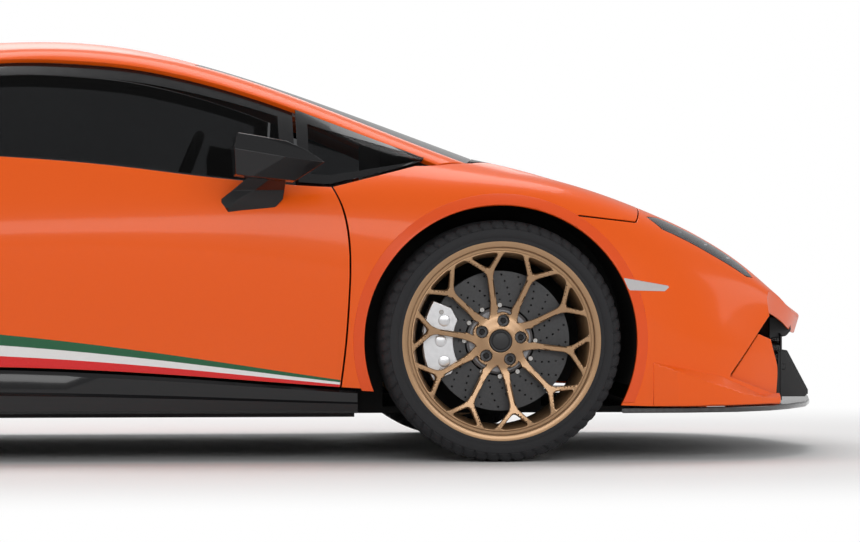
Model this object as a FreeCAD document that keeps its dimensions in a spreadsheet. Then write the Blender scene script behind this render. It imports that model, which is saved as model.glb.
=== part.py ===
import FreeCAD, Part
from FreeCAD import Vector
import math
import os

# Supercar: a two-seat, mid-engined coupe, in millimetres.
# Frame: +X forwards, +Z up, +Y to the car's left, origin on the ground under the middle.

os.makedirs("parts", exist_ok=True)
doc = FreeCAD.newDocument("supercar")
sheet = doc.addObject("Spreadsheet::Sheet", "sizes")

# Driving dimensions
dimensions = [
    ("length", 4506), ("body_width", 1924), ("height", 1165), ("wheelbase", 2620),
    ("front_overhang", 1063), ("front_track", 1644), ("rear_track", 1594),
    ("front_tyre_width", 245), ("front_tyre_radius", 327.5),
    ("rear_tyre_width", 305), ("rear_tyre_radius", 345.5),
    ("bead_radius", 254), ("rim_lip_radius", 272), ("rim_wall", 7),
    ("spoke_width", 17), ("branch_width", 12), ("lug_circle_radius", 56), ("lug_hole_radius", 11),
    ("hub_cap_radius", 28), ("front_disc_radius", 190), ("rear_disc_radius", 178),
    ("disc_thickness", 34), ("disc_hat_radius", 92), ("hub_radius", 74), ("hub_inset", 52.5), ("upright_height", 240),
    ("arch_radius", 370), ("rear_arch_radius", 388), ("liner_wall", 4),
    ("panel_gap", 5), ("skin", 16), ("lid_skin", 22), ("door_inner_plane", 790),
    ("glass", 5), ("seat_gap", 0.3), ("floor_height", 118), ("floor_thickness", 18), ("toe_board", 800),
    ("sill_top", 300), ("liner_inner_plane", 530), ("rear_liner_plane", 500), ("rear_bay_plane", 440), ("front_bulkhead", 880), ("rear_bulkhead", -420),
    ("cowl_station", 1202), ("steering_wheel_radius", 178), ("steering_column_rake", 22),
    ("seat_width", 470), ("seat_offset", 365), ("column_radius", 24),
    ("wing_span", 1420), ("wing_chord", 250), ("wing_height", 1075),
    ("tailpipe_radius", 52), ("engine_length", 640), ("engine_width", 620), ("engine_height", 480),
    ("splitter_thickness", 18), ("mirror_reach", 1118),
]
for row, (name, value) in enumerate(dimensions, 1):
    sheet.set("A%d" % row, name)
    sheet.set("B%d" % row, str(value))
    sheet.setAlias("B%d" % row, name)
doc.recompute()


def cell(name):
    return float(getattr(sheet, name))


length = cell("length")
half_width = cell("body_width") / 2
height = cell("height")
nose_station = length / 2
tail_station = -length / 2
front_axle = nose_station - cell("front_overhang")
rear_axle = front_axle - cell("wheelbase")
front_plane = cell("front_track") / 2
rear_plane = cell("rear_track") / 2
front_tyre_radius = cell("front_tyre_radius")
rear_tyre_radius = cell("rear_tyre_radius")
gap = cell("panel_gap")
seat_gap = cell("seat_gap")
door_plane = cell("door_inner_plane")
right = -1
left = 1
sides = [("right", right), ("left", left)]

# The body lines are drawn on these stations, and stretch with the real ones
drawn_stations = [-2253, -1430, 1190, 2253]
real_stations = [tail_station, rear_axle, front_axle, nose_station]
drawn_half_width = 962
drawn_height = 1165


def along(x):
    last = len(drawn_stations) - 2
    step = max(i for i in range(last + 1) if i == 0 or x >= drawn_stations[i])
    share = (x - drawn_stations[step]) / (drawn_stations[step + 1] - drawn_stations[step])
    return real_stations[step] + share * (real_stations[step + 1] - real_stations[step])


def across(y):
    return y * half_width / drawn_half_width


def up(z):
    return z * height / drawn_height


def at(x, y, z):
    return Vector(along(x), across(y), up(z))


def solved(matrix, values):
    rows = [list(row) + [value] for row, value in zip(matrix, values)]
    count = len(rows)
    for i in range(count):
        best = max(range(i, count), key=lambda k: abs(rows[k][i]))
        rows[i], rows[best] = rows[best], rows[i]
        for k in range(i + 1, count):
            factor = rows[k][i] / rows[i][i]
            rows[k] = [b - factor * a for a, b in zip(rows[i], rows[k])]
    result = [0.0] * count
    for i in range(count - 1, -1, -1):
        rest = sum(rows[i][k] * result[k] for k in range(i + 1, count))
        result[i] = (rows[i][count] - rest) / rows[i][i]
    return result


# A fair line near the given points: the natural cubic spline that bends least, as a
# batten would, where easing says how far it may leave its points. With none it meets them.
class Smooth:
    def __init__(self, pairs, easing=0.0):
        pairs = sorted(pairs)
        self.xs = [float(p[0]) for p in pairs]
        values = [float(p[1]) for p in pairs]
        count = len(pairs)
        steps = [self.xs[i + 1] - self.xs[i] for i in range(count - 1)]
        spread = []
        for i in range(1, count - 1):
            row = [0.0] * count
            row[i - 1] = 1 / steps[i - 1]
            row[i] = -1 / steps[i - 1] - 1 / steps[i]
            row[i + 1] = 1 / steps[i]
            spread.append(row)
        inner = count - 2
        matrix = [[0.0] * inner for i in range(inner)]
        for i in range(inner):
            for k in range(inner):
                matrix[i][k] = easing * sum(a * b for a, b in zip(spread[i], spread[k]))
            matrix[i][i] += (steps[i] + steps[i + 1]) / 3
            if i + 1 < inner:
                matrix[i][i + 1] += steps[i + 1] / 6
                matrix[i + 1][i] += steps[i + 1] / 6
        bends = solved(matrix, [sum(a * b for a, b in zip(row, values)) for row in spread]) if inner > 0 else []
        for i in range(count):
            values[i] -= easing * sum(row[i] * bend for row, bend in zip(spread, bends))
        self.ys = values
        self.bends = [0.0] + bends + [0.0]

    def __call__(self, x):
        step = 0
        while step < len(self.xs) - 2 and x > self.xs[step + 1]:
            step += 1
        width = self.xs[step + 1] - self.xs[step]
        a = (self.xs[step + 1] - x) / width
        b = (x - self.xs[step]) / width
        curve = ((a ** 3 - a) * self.bends[step] + (b ** 3 - b) * self.bends[step + 1]) * width ** 2 / 6
        return a * self.ys[step] + b * self.ys[step + 1] + curve


# A character line runs along the car, with its half-width y and height z as functions of x
fairness = 60000.0


class Line:
    def __init__(self, points):
        self.y = Smooth([(x, y) for x, y, z in points], fairness)
        self.z = Smooth([(x, z) for x, y, z in points], fairness)
        self.ends = (min(p[0] for p in points), max(p[0] for p in points))

    def at(self, x):
        return (x, self.y(x), self.z(x))


# Front lines, from the middle of the bonnet out and down to the sill
bonnet_middle = Line([(700, 0, 905), (1000, 0, 868), (1202, 0, 821), (1400, 0, 770), (1600, 0, 702),
                      (1800, 0, 617), (2000, 0, 515), (2150, 0, 430), (2225, 0, 385)])
bonnet_edge = Line([(700, 640, 880), (1000, 625, 850), (1202, 600, 809), (1400, 575, 757), (1600, 535, 690),
                    (1800, 480, 603), (2000, 420, 500), (2120, 385, 428), (2190, 360, 388)])
crown = Line([(700, 785, 800), (900, 785, 814), (1005, 775, 815), (1173, 745, 806), (1375, 715, 760),
              (1485, 700, 727), (1601, 675, 685), (1773, 640, 606), (1876, 615, 545), (2000, 580, 474),
              (2090, 560, 415)])
shoulder = Line([(-2200, 760, 800), (-1900, 830, 812), (-1430, 872, 822), (-980, 872, 800), (-480, 868, 742),
                 (-80, 873, 722), (520, 877, 712), (772, 882, 716), (1020, 888, 742), (1190, 887, 750),
                 (1358, 877, 733), (1498, 862, 689), (1630, 842, 634), (1786, 800, 556), (1897, 762, 494),
                 (1965, 735, 455)])
widest = Line([(-2200, 800, 620), (-1900, 915, 632), (-1430, 962, 640), (-980, 938, 615), (-480, 908, 598),
               (-80, 900, 590), (420, 898, 580), (822, 915, 572), (1190, 957, 580), (1422, 948, 545),
               (1622, 915, 485), (1802, 855, 410), (1922, 785, 350), (1990, 735, 318)])
lower = Line([(-2200, 815, 430), (-1900, 910, 400), (-1430, 955, 385), (-980, 925, 370), (-480, 885, 362),
              (-80, 870, 360), (422, 870, 358), (822, 900, 352), (1190, 948, 350), (1522, 932, 335),
              (1802, 865, 290), (1922, 785, 255), (2018, 705, 232)])
bottom = Line([(-2200, 800, 330), (-1900, 880, 235), (-1430, 930, 200), (-980, 905, 195), (-480, 875, 195),
               (-80, 862, 196), (422, 862, 196), (822, 885, 192), (1190, 930, 175), (1522, 925, 152),
               (1802, 855, 147), (1922, 778, 146.4), (2012, 700, 146.4)])
# Belt of the door, under its glass
belt = Line([(-360, 826, 838), (-90, 835, 823), (181, 841, 799), (348, 846, 778), (501, 850, 762),
             (654, 855, 749), (830, 858, 742)])
# Rear deck lines
deck_middle = Line([(-2230, 0, 868), (-2000, 0, 893), (-1600, 0, 945), (-1200, 0, 1012), (-800, 0, 1085),
                    (-450, 0, 1137), (-250, 0, 1156)])
deck_edge = Line([(-2230, 400, 862), (-2000, 415, 884), (-1600, 430, 928), (-1200, 440, 985), (-800, 450, 1050),
                  (-450, 460, 1102), (-250, 465, 1125)])
sail = Line([(-2215, 640, 838), (-2000, 690, 868), (-1600, 715, 892), (-1200, 705, 928), (-800, 645, 990),
             (-450, 585, 1063), (-250, 568, 1090)])
# Greenhouse lines: middle of the screen and roof, upper edge of the rail, top edge of the side glass
roof_middle = Line([(-450, 0, 1137), (-250, 0, 1156), (-89, 0, 1164.5), (51, 0, 1162), (195, 0, 1147),
                    (306, 0, 1124), (410, 0, 1096), (800, 0, 969), (1103, 0, 858), (1202, 0, 821)])
rail_top = Line([(-450, 470, 1102), (-250, 478, 1124), (-89, 486, 1133), (100, 498, 1128), (250, 508, 1110),
                 (398, 522, 1079), (772, 620, 947), (1041, 705, 838), (1124, 735, 806)])
glass_top = Line([(-450, 578, 1066), (-250, 566, 1092), (-89, 563, 1101), (48, 568, 1095), (187, 580, 1084),
                  (351, 600, 1052), (489, 628, 1014), (623, 662, 968), (766, 702, 912), (1005, 780, 815)])


# Where the rows of a skin have their points: at each line that they cross, and once between
def crossings(knots, first, last):
    params = [first] + [k for k in knots if first < k < last] + [last]
    result = [first]
    for start, stop in zip(params, params[1:]):
        if stop - start > longest_span:
            result.append((start + stop) / 2)
        result.append(stop)
    return result


longest_span = 130


# A skin is a grid of points on a run of lines: one row per station, one column per crossing
def skin_points(lines, knots, begin, finish, rows, first, last):
    grid = []
    for i in range(rows):
        share = i / (rows - 1)
        points = [line.at(start + (stop - start) * share) for line, start, stop in zip(lines, begin, finish)]
        params = list(knots)
        if first == 0:
            points = [(p[0], -p[1], p[2]) for p in reversed(points[1:3])] + points
            params = [-k for k in reversed(knots[1:3])] + params
        curves = [Smooth([(k, p[axis]) for k, p in zip(params, points)]) for axis in range(3)]
        grid.append([at(*[curve(t) for curve in curves]) for t in crossings(knots, first, last)])
    return grid


def on_side(grid, side):
    return [[Vector(p.x, p.y * side, p.z) for p in row] for row in grid]


# The grid of one side with its mirror image, as one grid across the car
def whole(grid):
    return [[Vector(p.x, -p.y, p.z) for p in reversed(row[1:])] + row for row in grid]


def shifted(grid, offset):
    return [[p + offset for p in row] for row in grid]


# The same grid moved inwards by a wall's thickness, each point along its own normal
def thinner(grid, wall):
    moved = []
    for i, row in enumerate(grid):
        line = []
        for j, point in enumerate(row):
            lengthwise = grid[min(i + 1, len(grid) - 1)][j] - grid[max(i - 1, 0)][j]
            crosswise = row[min(j + 1, len(row) - 1)] - row[max(j - 1, 0)]
            normal = lengthwise.cross(crosswise)
            line.append(point - normal * (wall / normal.Length))
        moved.append(line)
    return moved


# A panel is a closed solid between two grids, of flat facets that meet on the body lines
def panel(outer, inner):
    faces = []

    def facet(*corners):
        faces.append(Part.Face(Part.makePolygon(list(corners) + [corners[0]])))

    rows = len(outer)
    columns = len(outer[0])
    for grid in (outer, inner):
        for i in range(rows - 1):
            for j in range(columns - 1):
                facet(grid[i][j], grid[i][j + 1], grid[i + 1][j + 1])
                facet(grid[i][j], grid[i + 1][j + 1], grid[i + 1][j])
    rim = [(0, j) for j in range(columns)] + [(i, columns - 1) for i in range(1, rows)]
    rim += [(rows - 1, j) for j in range(columns - 2, -1, -1)] + [(i, 0) for i in range(rows - 2, 0, -1)]
    for (i, j), (k, m) in zip(rim, rim[1:] + rim[:1]):
        facet(outer[i][j], outer[k][m], inner[k][m])
        facet(outer[i][j], inner[k][m], inner[i][j])
    solid = Part.makeSolid(Part.makeShell(faces))
    if solid.Volume < 0:
        solid.reverse()
    return solid.removeSplitter()


def pushed(grid, push):
    return panel(grid, shifted(grid, push))


def thick(face, push):
    solid = face.extrude(push)
    if solid.Volume < 0:
        solid.reverse()
    return solid


# A closed outline in side view, made into a cutter across one side of the car
def side_cutter(points, side, near=0, far=1300):
    wire = Part.makePolygon([Vector(x, near * side, z) for x, z in points + points[:1]])
    return thick(Part.Face(wire), Vector(0, (far - near) * side, 0))


# A closed outline in plan view, made into a cutter up through the car
def plan_cutter(points, side, low=-100, high=1400):
    wire = Part.makePolygon([Vector(x, y * side, low) for x, y in points + points[:1]])
    return thick(Part.Face(wire), Vector(0, 0, high - low))


def wheel_cutter(axle, centre_height, radius, near, far, side):
    start = min(near * side, far * side)
    return Part.makeCylinder(radius, abs(far - near), Vector(axle, start, centre_height), Vector(0, 1, 0))


# Moves an open line sideways, to its left for a positive distance
def beside(points, distance):
    moved = []
    for i, point in enumerate(points):
        ax, ay = points[max(i - 1, 0)]
        bx, by = points[min(i + 1, len(points) - 1)]
        size = math.hypot(bx - ax, by - ay)
        moved.append((point[0] - (by - ay) / size * distance, point[1] + (bx - ax) / size * distance))
    return moved


def block(x0, x1, y0, y1, z0, z1):
    return Part.makeBox(x1 - x0, y1 - y0, z1 - z0, Vector(x0, y0, z0))


def sided_block(x0, x1, near, far, z0, z1, side):
    low, high = sorted((near * side, far * side))
    return block(x0, x1, low, high, z0, z1)


def joined(shapes):
    result = shapes[0]
    if len(shapes) > 1:
        result = result.multiFuse(shapes[1:])
    return result.removeSplitter()


# A piece cut back to where its neighbours begin, so that it meets them face to face
def fitted(shape, neighbours):
    for other in neighbours:
        shape = shape.cut(other)
    return main_solid(shape)


def main_solid(shape):
    return max(shape.Solids, key=lambda solid: solid.Volume)


parts = []


def feature(label, shape):
    item = doc.addObject("Part::Feature", label)
    item.Label = label
    item.Shape = shape
    parts.append(item)
    return item


# Shut lines in side view, as height to station
door_front = Smooth([(195, 756), (310, 770), (429, 778), (552, 781), (641, 773), (709, 754), (760, 728), (1000, 640)])
door_rear = Smooth([(195, -205), (255, -215), (350, -240), (500, -258), (700, -240), (830, -215), (1000, -180)])
sill_line = Smooth([(-700, 262), (-300, 256), (-78, 251), (400, 224), (822, 193), (1000, 183)])
quarter_glass_rear = 645


def door_outline(grow):
    heights = [150, 250, 350, 450, 550, 640, 700, 760]
    front = [(along(door_front(z) + grow), up(z)) for z in heights]
    rear = [(along(door_rear(z) - grow), up(z)) for z in reversed(heights + [860])]
    return front + [(along(door_front(860) + grow), up(860))] + rear


# Door skins and the solid doors behind them
door_lines = [belt, shoulder, widest, lower, bottom]
door_knots = [0, 90, 250, 470, 640]


def door_shape(side):
    count = len(door_lines)
    grid = skin_points(door_lines, door_knots, [-340] * count, [830] * count, 8, 0.01, 640)
    body = pushed(on_side(grid, side), Vector(0, -260 * side, 0))
    keep = side_cutter(door_outline(-gap / 2), side, door_plane, 1100)
    base = [(x, sill_line(x) + gap) for x in range(-320, 841, 290)]
    above = [(along(x), up(z)) for x, z in base] + [(along(840), up(1000)), (along(-320), up(1000))]
    return main_solid(body.common(keep).common(side_cutter(above, side, door_plane - 10, 1100)))


# Front skin, from the bonnet's shut line over the crown and down to the sill
front_lines = [bonnet_middle, bonnet_edge, crown, shoulder, widest, lower, bottom]
front_knots = [0, 560, 740, 900, 1080, 1300, 1480]
front_begin = [700] * 7
front_finish = [2225, 2190, 2090, 1965, 1990, 2018, 2012]


def front_grid(first, last, rows=13):
    return skin_points(front_lines, front_knots, front_begin, front_finish, rows, first, last)


def rear_grid(first, last, rows=14):
    return skin_points(rear_lines, rear_knots, rear_begin, rear_finish, rows, first, last)


def arch_cutter(side, grow=0):
    return wheel_cutter(front_axle, front_tyre_radius, cell("arch_radius") + grow, 520, 1200, side)


def rear_arch_cutter(side, grow=0):
    return wheel_cutter(rear_axle, rear_tyre_radius, cell("rear_arch_radius") + grow, 480, 1200, side)


# The joint between fender and bumper, from the arch up to the lamp and over to the bonnet
bumper_joint = [(1300, 640), (1404, 668), (1565, 650), (1590, 700), (1592, 900)]


def bumper_side(grow, front):
    line = beside([(along(x), up(z)) for x, z in bumper_joint], -grow)
    if front:
        return line + [(along(2400), up(900)), (along(2400), up(50)), (along(1300), up(50))]
    return line + [(along(500), up(900)), (along(500), up(50)), (along(1250), up(50)), (along(1250), up(560))]


# What lies inboard of the fender in plan view: pillar foot, screen corner and cowl
fender_inner = [(600, 0), (600, 812), (990, 804), (1032, 796), (1126, 753), (1207, 642), (1207, 0)]


def fender_shape(side):
    body = pushed(on_side(front_grid(575, 1480), side), Vector(0, -cell("skin") * side, -cell("skin")))
    body = body.common(side_cutter(bumper_side(-gap / 2, False), side))
    body = body.cut(side_cutter(door_outline(gap / 2), side, 700, 1200))
    body = body.cut(arch_cutter(side))
    body = body.cut(bonnet_cutter(gap / 2))
    body = body.cut(plan_cutter([(along(x), across(y)) for x, y in fender_inner], side))
    glass_base = [(along(x), up(z)) for x, z in
                  [(600, 742), (735, 745), (1005, 813), (1110, 815), (1110, 1000), (600, 1000)]]
    body = body.cut(side_cutter(glass_base, side))
    body = body.cut(side_cutter([(along(600), up(50)), (along(1100), up(50)), (along(1100), up(178)),
                                 (along(822), up(198)), (along(600), up(212))], side))
    return main_solid(body)


# The space under the front skin, for what reaches up to it from inside
def front_inside(side, drop, last=1480):
    grid = shifted(on_side(front_grid(0, last), side), Vector(0, -drop * side, -drop))
    return pushed(grid, Vector(0, -600 * side, -600))


def rear_inside(side, drop):
    grid = shifted(on_side(rear_grid(0, 1420), side), Vector(0, -drop * side, -drop))
    return pushed(grid, Vector(0, -700 * side, -700))


cowl_thickness = 8


def cowl_shape():
    body = pushed(whole(front_grid(0, 740)), Vector(0, 0, -cowl_thickness))
    rear_edge = [(screen_edge(y) + 6, across(y)) for y in (0, 150, 300, 450, 600, 700)]
    half = rear_edge + [(along(1124), across(744)), (along(1200), across(640))]
    outline = half + [(x, -y) for x, y in reversed(half[1:])]
    return main_solid(body.common(plan_cutter(outline, left, up(600))))


# The headlamp lies in the skin, between crown and shoulder, in plan view
lamp_plan = [(1600, 815), (1640, 838), (1786, 797), (1885, 763), (1912, 738), (1880, 695), (1760, 700), (1640, 752)]


def lamp_cutter(side, grow):
    middle_x = sum(x for x, y in lamp_plan) / len(lamp_plan)
    middle_y = sum(y for x, y in lamp_plan) / len(lamp_plan)
    points = []
    for x, y in lamp_plan:
        size = math.hypot(x - middle_x, y - middle_y)
        points.append((along(x) + grow * (x - middle_x) / size, across(y) + grow * (y - middle_y) / size))
    return plan_cutter(points, side, up(420), up(800))


def bumper_shape():
    grid = whole(front_grid(0, 1480))
    body = panel(grid, thinner(grid, 12))
    for name, side in sides:
        keep = side_cutter(bumper_side(gap / 2, True), side, -2)
        body = body.cut(sided_block(along(-3000), along(3000), 0, 1300, -500, 2000, side).cut(keep))
        body = body.cut(arch_cutter(side))
        body = body.cut(lamp_cutter(side, 1))
    return main_solid(body.cut(bonnet_cutter(gap / 2 + nose_clearance)))


def headlamps_shape():
    lamps = []
    for name, side in sides:
        body = pushed(on_side(front_grid(560, 1300), side), Vector(0, 0, -40))
        lamps.append(main_solid(body.common(lamp_cutter(side, 0.7))))
    return Part.makeCompound(lamps)


# Bonnet: between its edge lines, from the cowl to the nose joint
bonnet_front = 1760
# Its front edges lean forwards, because it swings forwards and up about its rear edge
bonnet_lean = 0.7
nose_clearance = 1.5


def bonnet_outline(grow):
    stations = [1180, 1350, 1520, 1680]
    edge = [(along(x), across(bonnet_edge.y(x)) + grow) for x in stations]
    front = [(along(bonnet_front) + grow, across(y)) for y in (440, 220)]
    return edge + front


def bonnet_cutter(grow, lean=0.0):
    half = bonnet_outline(grow)
    low = up(bonnet_middle.z(bonnet_front)) - 300
    rear = along(cell("cowl_station")) - grow - lean * 300
    half = [(max(half[0][0], rear), half[0][1])] + half[1:]
    if lean:
        half[0] = (rear, half[0][1])
    right_half = [(x, -y) for x, y in reversed(half)]
    outline = half + right_half
    wire = Part.makePolygon([Vector(x - 300 * lean, y, low) for x, y in outline + outline[:1]])
    return thick(Part.Face(wire), Vector(600 * lean, 0, 600))


def bonnet_grid():
    return whole(skin_points(front_lines, front_knots, [800] * 7, front_finish, 12, 0, 700))


def bonnet_shape():
    body = pushed(bonnet_grid(), Vector(0, 0, -cell("lid_skin"))).common(bonnet_cutter(-gap / 2))
    return main_solid(body.common(bonnet_cutter(-gap / 2, bonnet_lean)))


# Screen and roof lie on one surface, from the cowl up and over to the deck
roof_lines = [roof_middle, rail_top, glass_top]
roof_knots = [0, 540, 620]


# Each row of the surface runs from the middle line out to the rail, and bows back on its way
def roof_grid(middle_span, edge_span, rows=8, columns=5):
    grid = []
    for i in range(rows):
        share = i / (rows - 1)
        middle_x = middle_span[0] + (middle_span[1] - middle_span[0]) * share
        edge_x = edge_span[0] + (edge_span[1] - edge_span[0]) * share
        edge = rail_top.at(edge_x)
        row = []
        for j in range(columns):
            out = j / (columns - 1)
            bow = out * out
            row.append(at(middle_x + (edge_x - middle_x) * bow, edge[1] * out,
                          roof_middle.z(middle_x) + (edge[2] - roof_middle.z(middle_x)) * bow))
        grid.append(row)
    return grid


screen_top = 405
screen_top_corner = 372
screen_base = 1172
screen_base_corner = 1112
roof_rear = -345


def screen_edge(y):
    out = y / rail_top.y(screen_base_corner)
    return along(screen_base + (screen_base_corner - screen_base) * out * out)


def screen_shape():
    grid = roof_grid((screen_top + 4, screen_base), (screen_top_corner + 4, screen_base_corner))
    return pushed(whole(grid), Vector(-2, 0, -cell("glass")))


# The rail runs down beside the screen, between the screen's edge and the side glass
def rail_grid(start, stop, rows=14, columns=3):
    grid = []
    for i in range(rows):
        x = start + (stop - start) * i / (rows - 1)
        upper = rail_top.at(x)
        lower_edge = glass_top.at(x - (90 * i / (rows - 1)))
        row = []
        for j in range(columns):
            share = j / (columns - 1)
            bulge = 26 * share * (1 - share)
            row.append(at(upper[0] + (lower_edge[0] - upper[0]) * share,
                          upper[1] + (lower_edge[1] - upper[1]) * share + bulge,
                          upper[2] + (lower_edge[2] - upper[2]) * share + bulge))
        grid.append(row)
    return grid


def roof_shape():
    top = roof_grid((roof_rear, screen_top), (roof_rear, screen_top_corner))
    shapes = [pushed(whole(top), Vector(0, 0, -24))]
    for name, side in sides:
        shapes.append(pushed(on_side(rail_grid(roof_rear, 1118), side), Vector(0, -26 * side, -20)))
    return joined(shapes)


# Side glass: from the belt up to the rail, slightly barrelled, each end with its own slant
glass_inset = 8


def side_glass(rear_end, front_end, side, drop, rise, rows=6, columns=4):
    grid = []
    for i in range(rows):
        share = i / (rows - 1)
        low_x = rear_end[0] + (front_end[0] - rear_end[0]) * share
        top_x = rear_end[1] + (front_end[1] - rear_end[1]) * share
        if low_x < 740:
            low = (low_x, belt.y(low_x) - 12, belt.z(low_x) - drop)
        else:
            forward = (low_x - 740) / (1005 - 740)
            low = (low_x, 846 - 62 * forward, 748 + 64 * forward - drop)
        top = glass_top.at(top_x)
        top = (top_x, top[1] - glass_inset, max(top[2] + rise, low[2] + 2))
        row = []
        for j in range(columns):
            part = j / (columns - 1)
            bulge = 40 * part * (1 - part)
            row.append(at(low[0] + (top[0] - low[0]) * part, low[1] + (top[1] - low[1]) * part + bulge,
                          low[2] + (top[2] - low[2]) * part + bulge * 0.3))
        grid.append(row)
    return pushed(on_side(grid, side), Vector(0, -cell("glass") * side, 0))


# Rear skin: the sail, the haunch and the flank behind the door
rear_lines = [deck_middle, deck_edge, sail, shoulder, widest, lower, bottom]
rear_knots = [0, 450, 620, 830, 1010, 1240, 1420]
rear_begin = [-2230, -2230, -2212, -2190, -2190, -2190, -2190]
rear_finish = [-205] * 7
intake = [(-262, 700), (-560, 640), (-640, 520), (-560, 330), (-300, 290), (-262, 330)]


def quarter_shape(side):
    body = pushed(on_side(rear_grid(425, 1420), side), Vector(0, -cell("skin") * side, -cell("skin")))
    body = body.cut(side_cutter(door_outline(gap / 2), side, 700, 1200))
    body = body.cut(rear_arch_cutter(side))
    body = body.cut(side_cutter([(along(x), up(z)) for x, z in intake], side, 700, 1200))
    body = body.cut(block(along(-2400), along(-1985), -1300, 1300, -100, 1400))
    body = body.cut(block(along(-900), along(0), -1300, 1300, -100, up(265)))
    above = [(-213, 846), (-300, 1112), (-300, 1300), (-100, 1300), (-100, 835), (-190, 835)]
    body = body.cut(side_cutter([(along(x), up(z)) for x, z in above], side, -5, 1300))
    body = body.cut(cover_cutter(gap / 2))
    return main_solid(body)


cover_front = -352
cover_rear = -1960


def cover_cutter(grow):
    stations = [cover_front, -700, -1100, -1500, cover_rear]
    half = [(along(x), across(deck_edge.y(x)) - 14 + grow) for x in stations]
    half[0] = (half[0][0] + grow, half[0][1])
    half[-1] = (half[-1][0] - grow, half[-1][1])
    return plan_cutter(half + [(x, -y) for x, y in reversed(half)], left, up(700))


def cover_grid():
    return whole(skin_points(rear_lines, rear_knots, [-2200] * 7, [-345] * 7, 12, 0, 500))


def cover_shape():
    body = pushed(cover_grid(), Vector(0, 0, -cell("lid_skin"))).common(cover_cutter(-gap / 2))
    tip = deck_middle.z(cover_rear)
    slant = [(cover_rear + 22, tip - 50), (cover_rear - 14, tip + 40), (-2300, tip + 40), (-2300, tip - 50)]
    return main_solid(body.cut(side_cutter([(along(x), up(z)) for x, z in slant], left, -700, 700)))


def rear_bumper_shape():
    shapes = []
    tail = -2195
    for name, side in sides:
        grid = skin_points(rear_lines, rear_knots, rear_begin, [-1900] * 7, 5, 460, 1420)
        skin_body = pushed(on_side(grid, side), Vector(0, -14 * side, -14))
        skin_body = skin_body.cut(block(along(-1985) - gap, along(0), -1300, 1300, -100, 1400))
        shapes.append(main_solid(skin_body))
        outline = [deck_middle.at(tail), deck_edge.at(tail), sail.at(tail), shoulder.at(tail), widest.at(tail),
                   lower.at(tail), bottom.at(tail)]
        points = [Vector(along(tail), across(y) * side, up(z) - 8) for x, y, z in outline]
        points.append(Vector(along(tail), 0, up(330)))
        shapes.append(thick(Part.Face(Part.makePolygon(points + points[:1])), Vector(20, 0, 0)))
    whole = joined(shapes)
    opening = block(along(-2300), along(-2100), across(-560), across(560), up(480), up(690))
    return main_solid(whole.cut(opening))


def deck_tail_shape():
    grid = skin_points(rear_lines, rear_knots, [-2230] * 7, [-1965] * 7, 4, 0, 440)
    return main_solid(pushed(whole(grid), Vector(0, 0, -cell("lid_skin"))).cut(cover_cutter(gap / 2)))


def diffuser_shape():
    outline = [(-2010, 130), (-2253, 235), (-2253, 330), (-2180, 330), (-2180, 260), (-2010, 150)]
    points = [Vector(along(x), -across(620), up(z)) for x, z in outline]
    tray = thick(Part.Face(Part.makePolygon(points + points[:1])), Vector(0, 2 * across(620), 0))
    shapes = [tray]
    fin = [(-2010, 100), (-2240, 130), (-2253, 240), (-2010, 140)]
    for i in range(6):
        y = across(-500 + 200 * i)
        points = [Vector(along(x), y, up(z)) for x, z in fin]
        shapes.append(thick(Part.Face(Part.makePolygon(points + points[:1])), Vector(0, 8, 0)))
    return joined(shapes)


def wing_shape():
    chord = cell("wing_chord")
    half = cell("wing_span") / 2
    base = up(cell("wing_height"))
    section = [(0, 0), (-60, 26), (-150, 34), (-chord, 52), (-150, 14), (-60, 2)]
    points = [Vector(along(-1950) + x, -half, base + z) for x, z in section]
    blade = thick(Part.Face(Part.makePolygon(points + points[:1])), Vector(0, 2 * half, 0))
    shapes = [blade]
    for name, side in sides:
        leg = [(-1985, 868), (-2120, 858), (-2110, 1105), (-2030, 1098)]
        shapes.append(side_cutter([(along(x), up(z)) for x, z in leg], side, across(418), across(434)))
    return joined(shapes)


def exhaust_shape():
    shapes = []
    radius = cell("tailpipe_radius")
    for name, side in sides:
        middle = Vector(along(-2235), across(150) * side, up(585))
        pipe = Part.makeCylinder(radius, 330, middle, Vector(1, 0, 0))
        bore = Part.makeCylinder(radius - 3, 260, middle, Vector(1, 0, 0))
        shapes.append(pipe.cut(bore))
    wide = across(cell("rear_bay_plane")) - seat_gap - 6
    silencer = block(along(-1910), along(-1700), -wide, wide, up(510), up(660))
    return joined(shapes + [silencer])


# Where the floor's front edge carries the splitter
splitter_rear = 1700
splitter_seat = 500


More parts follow.
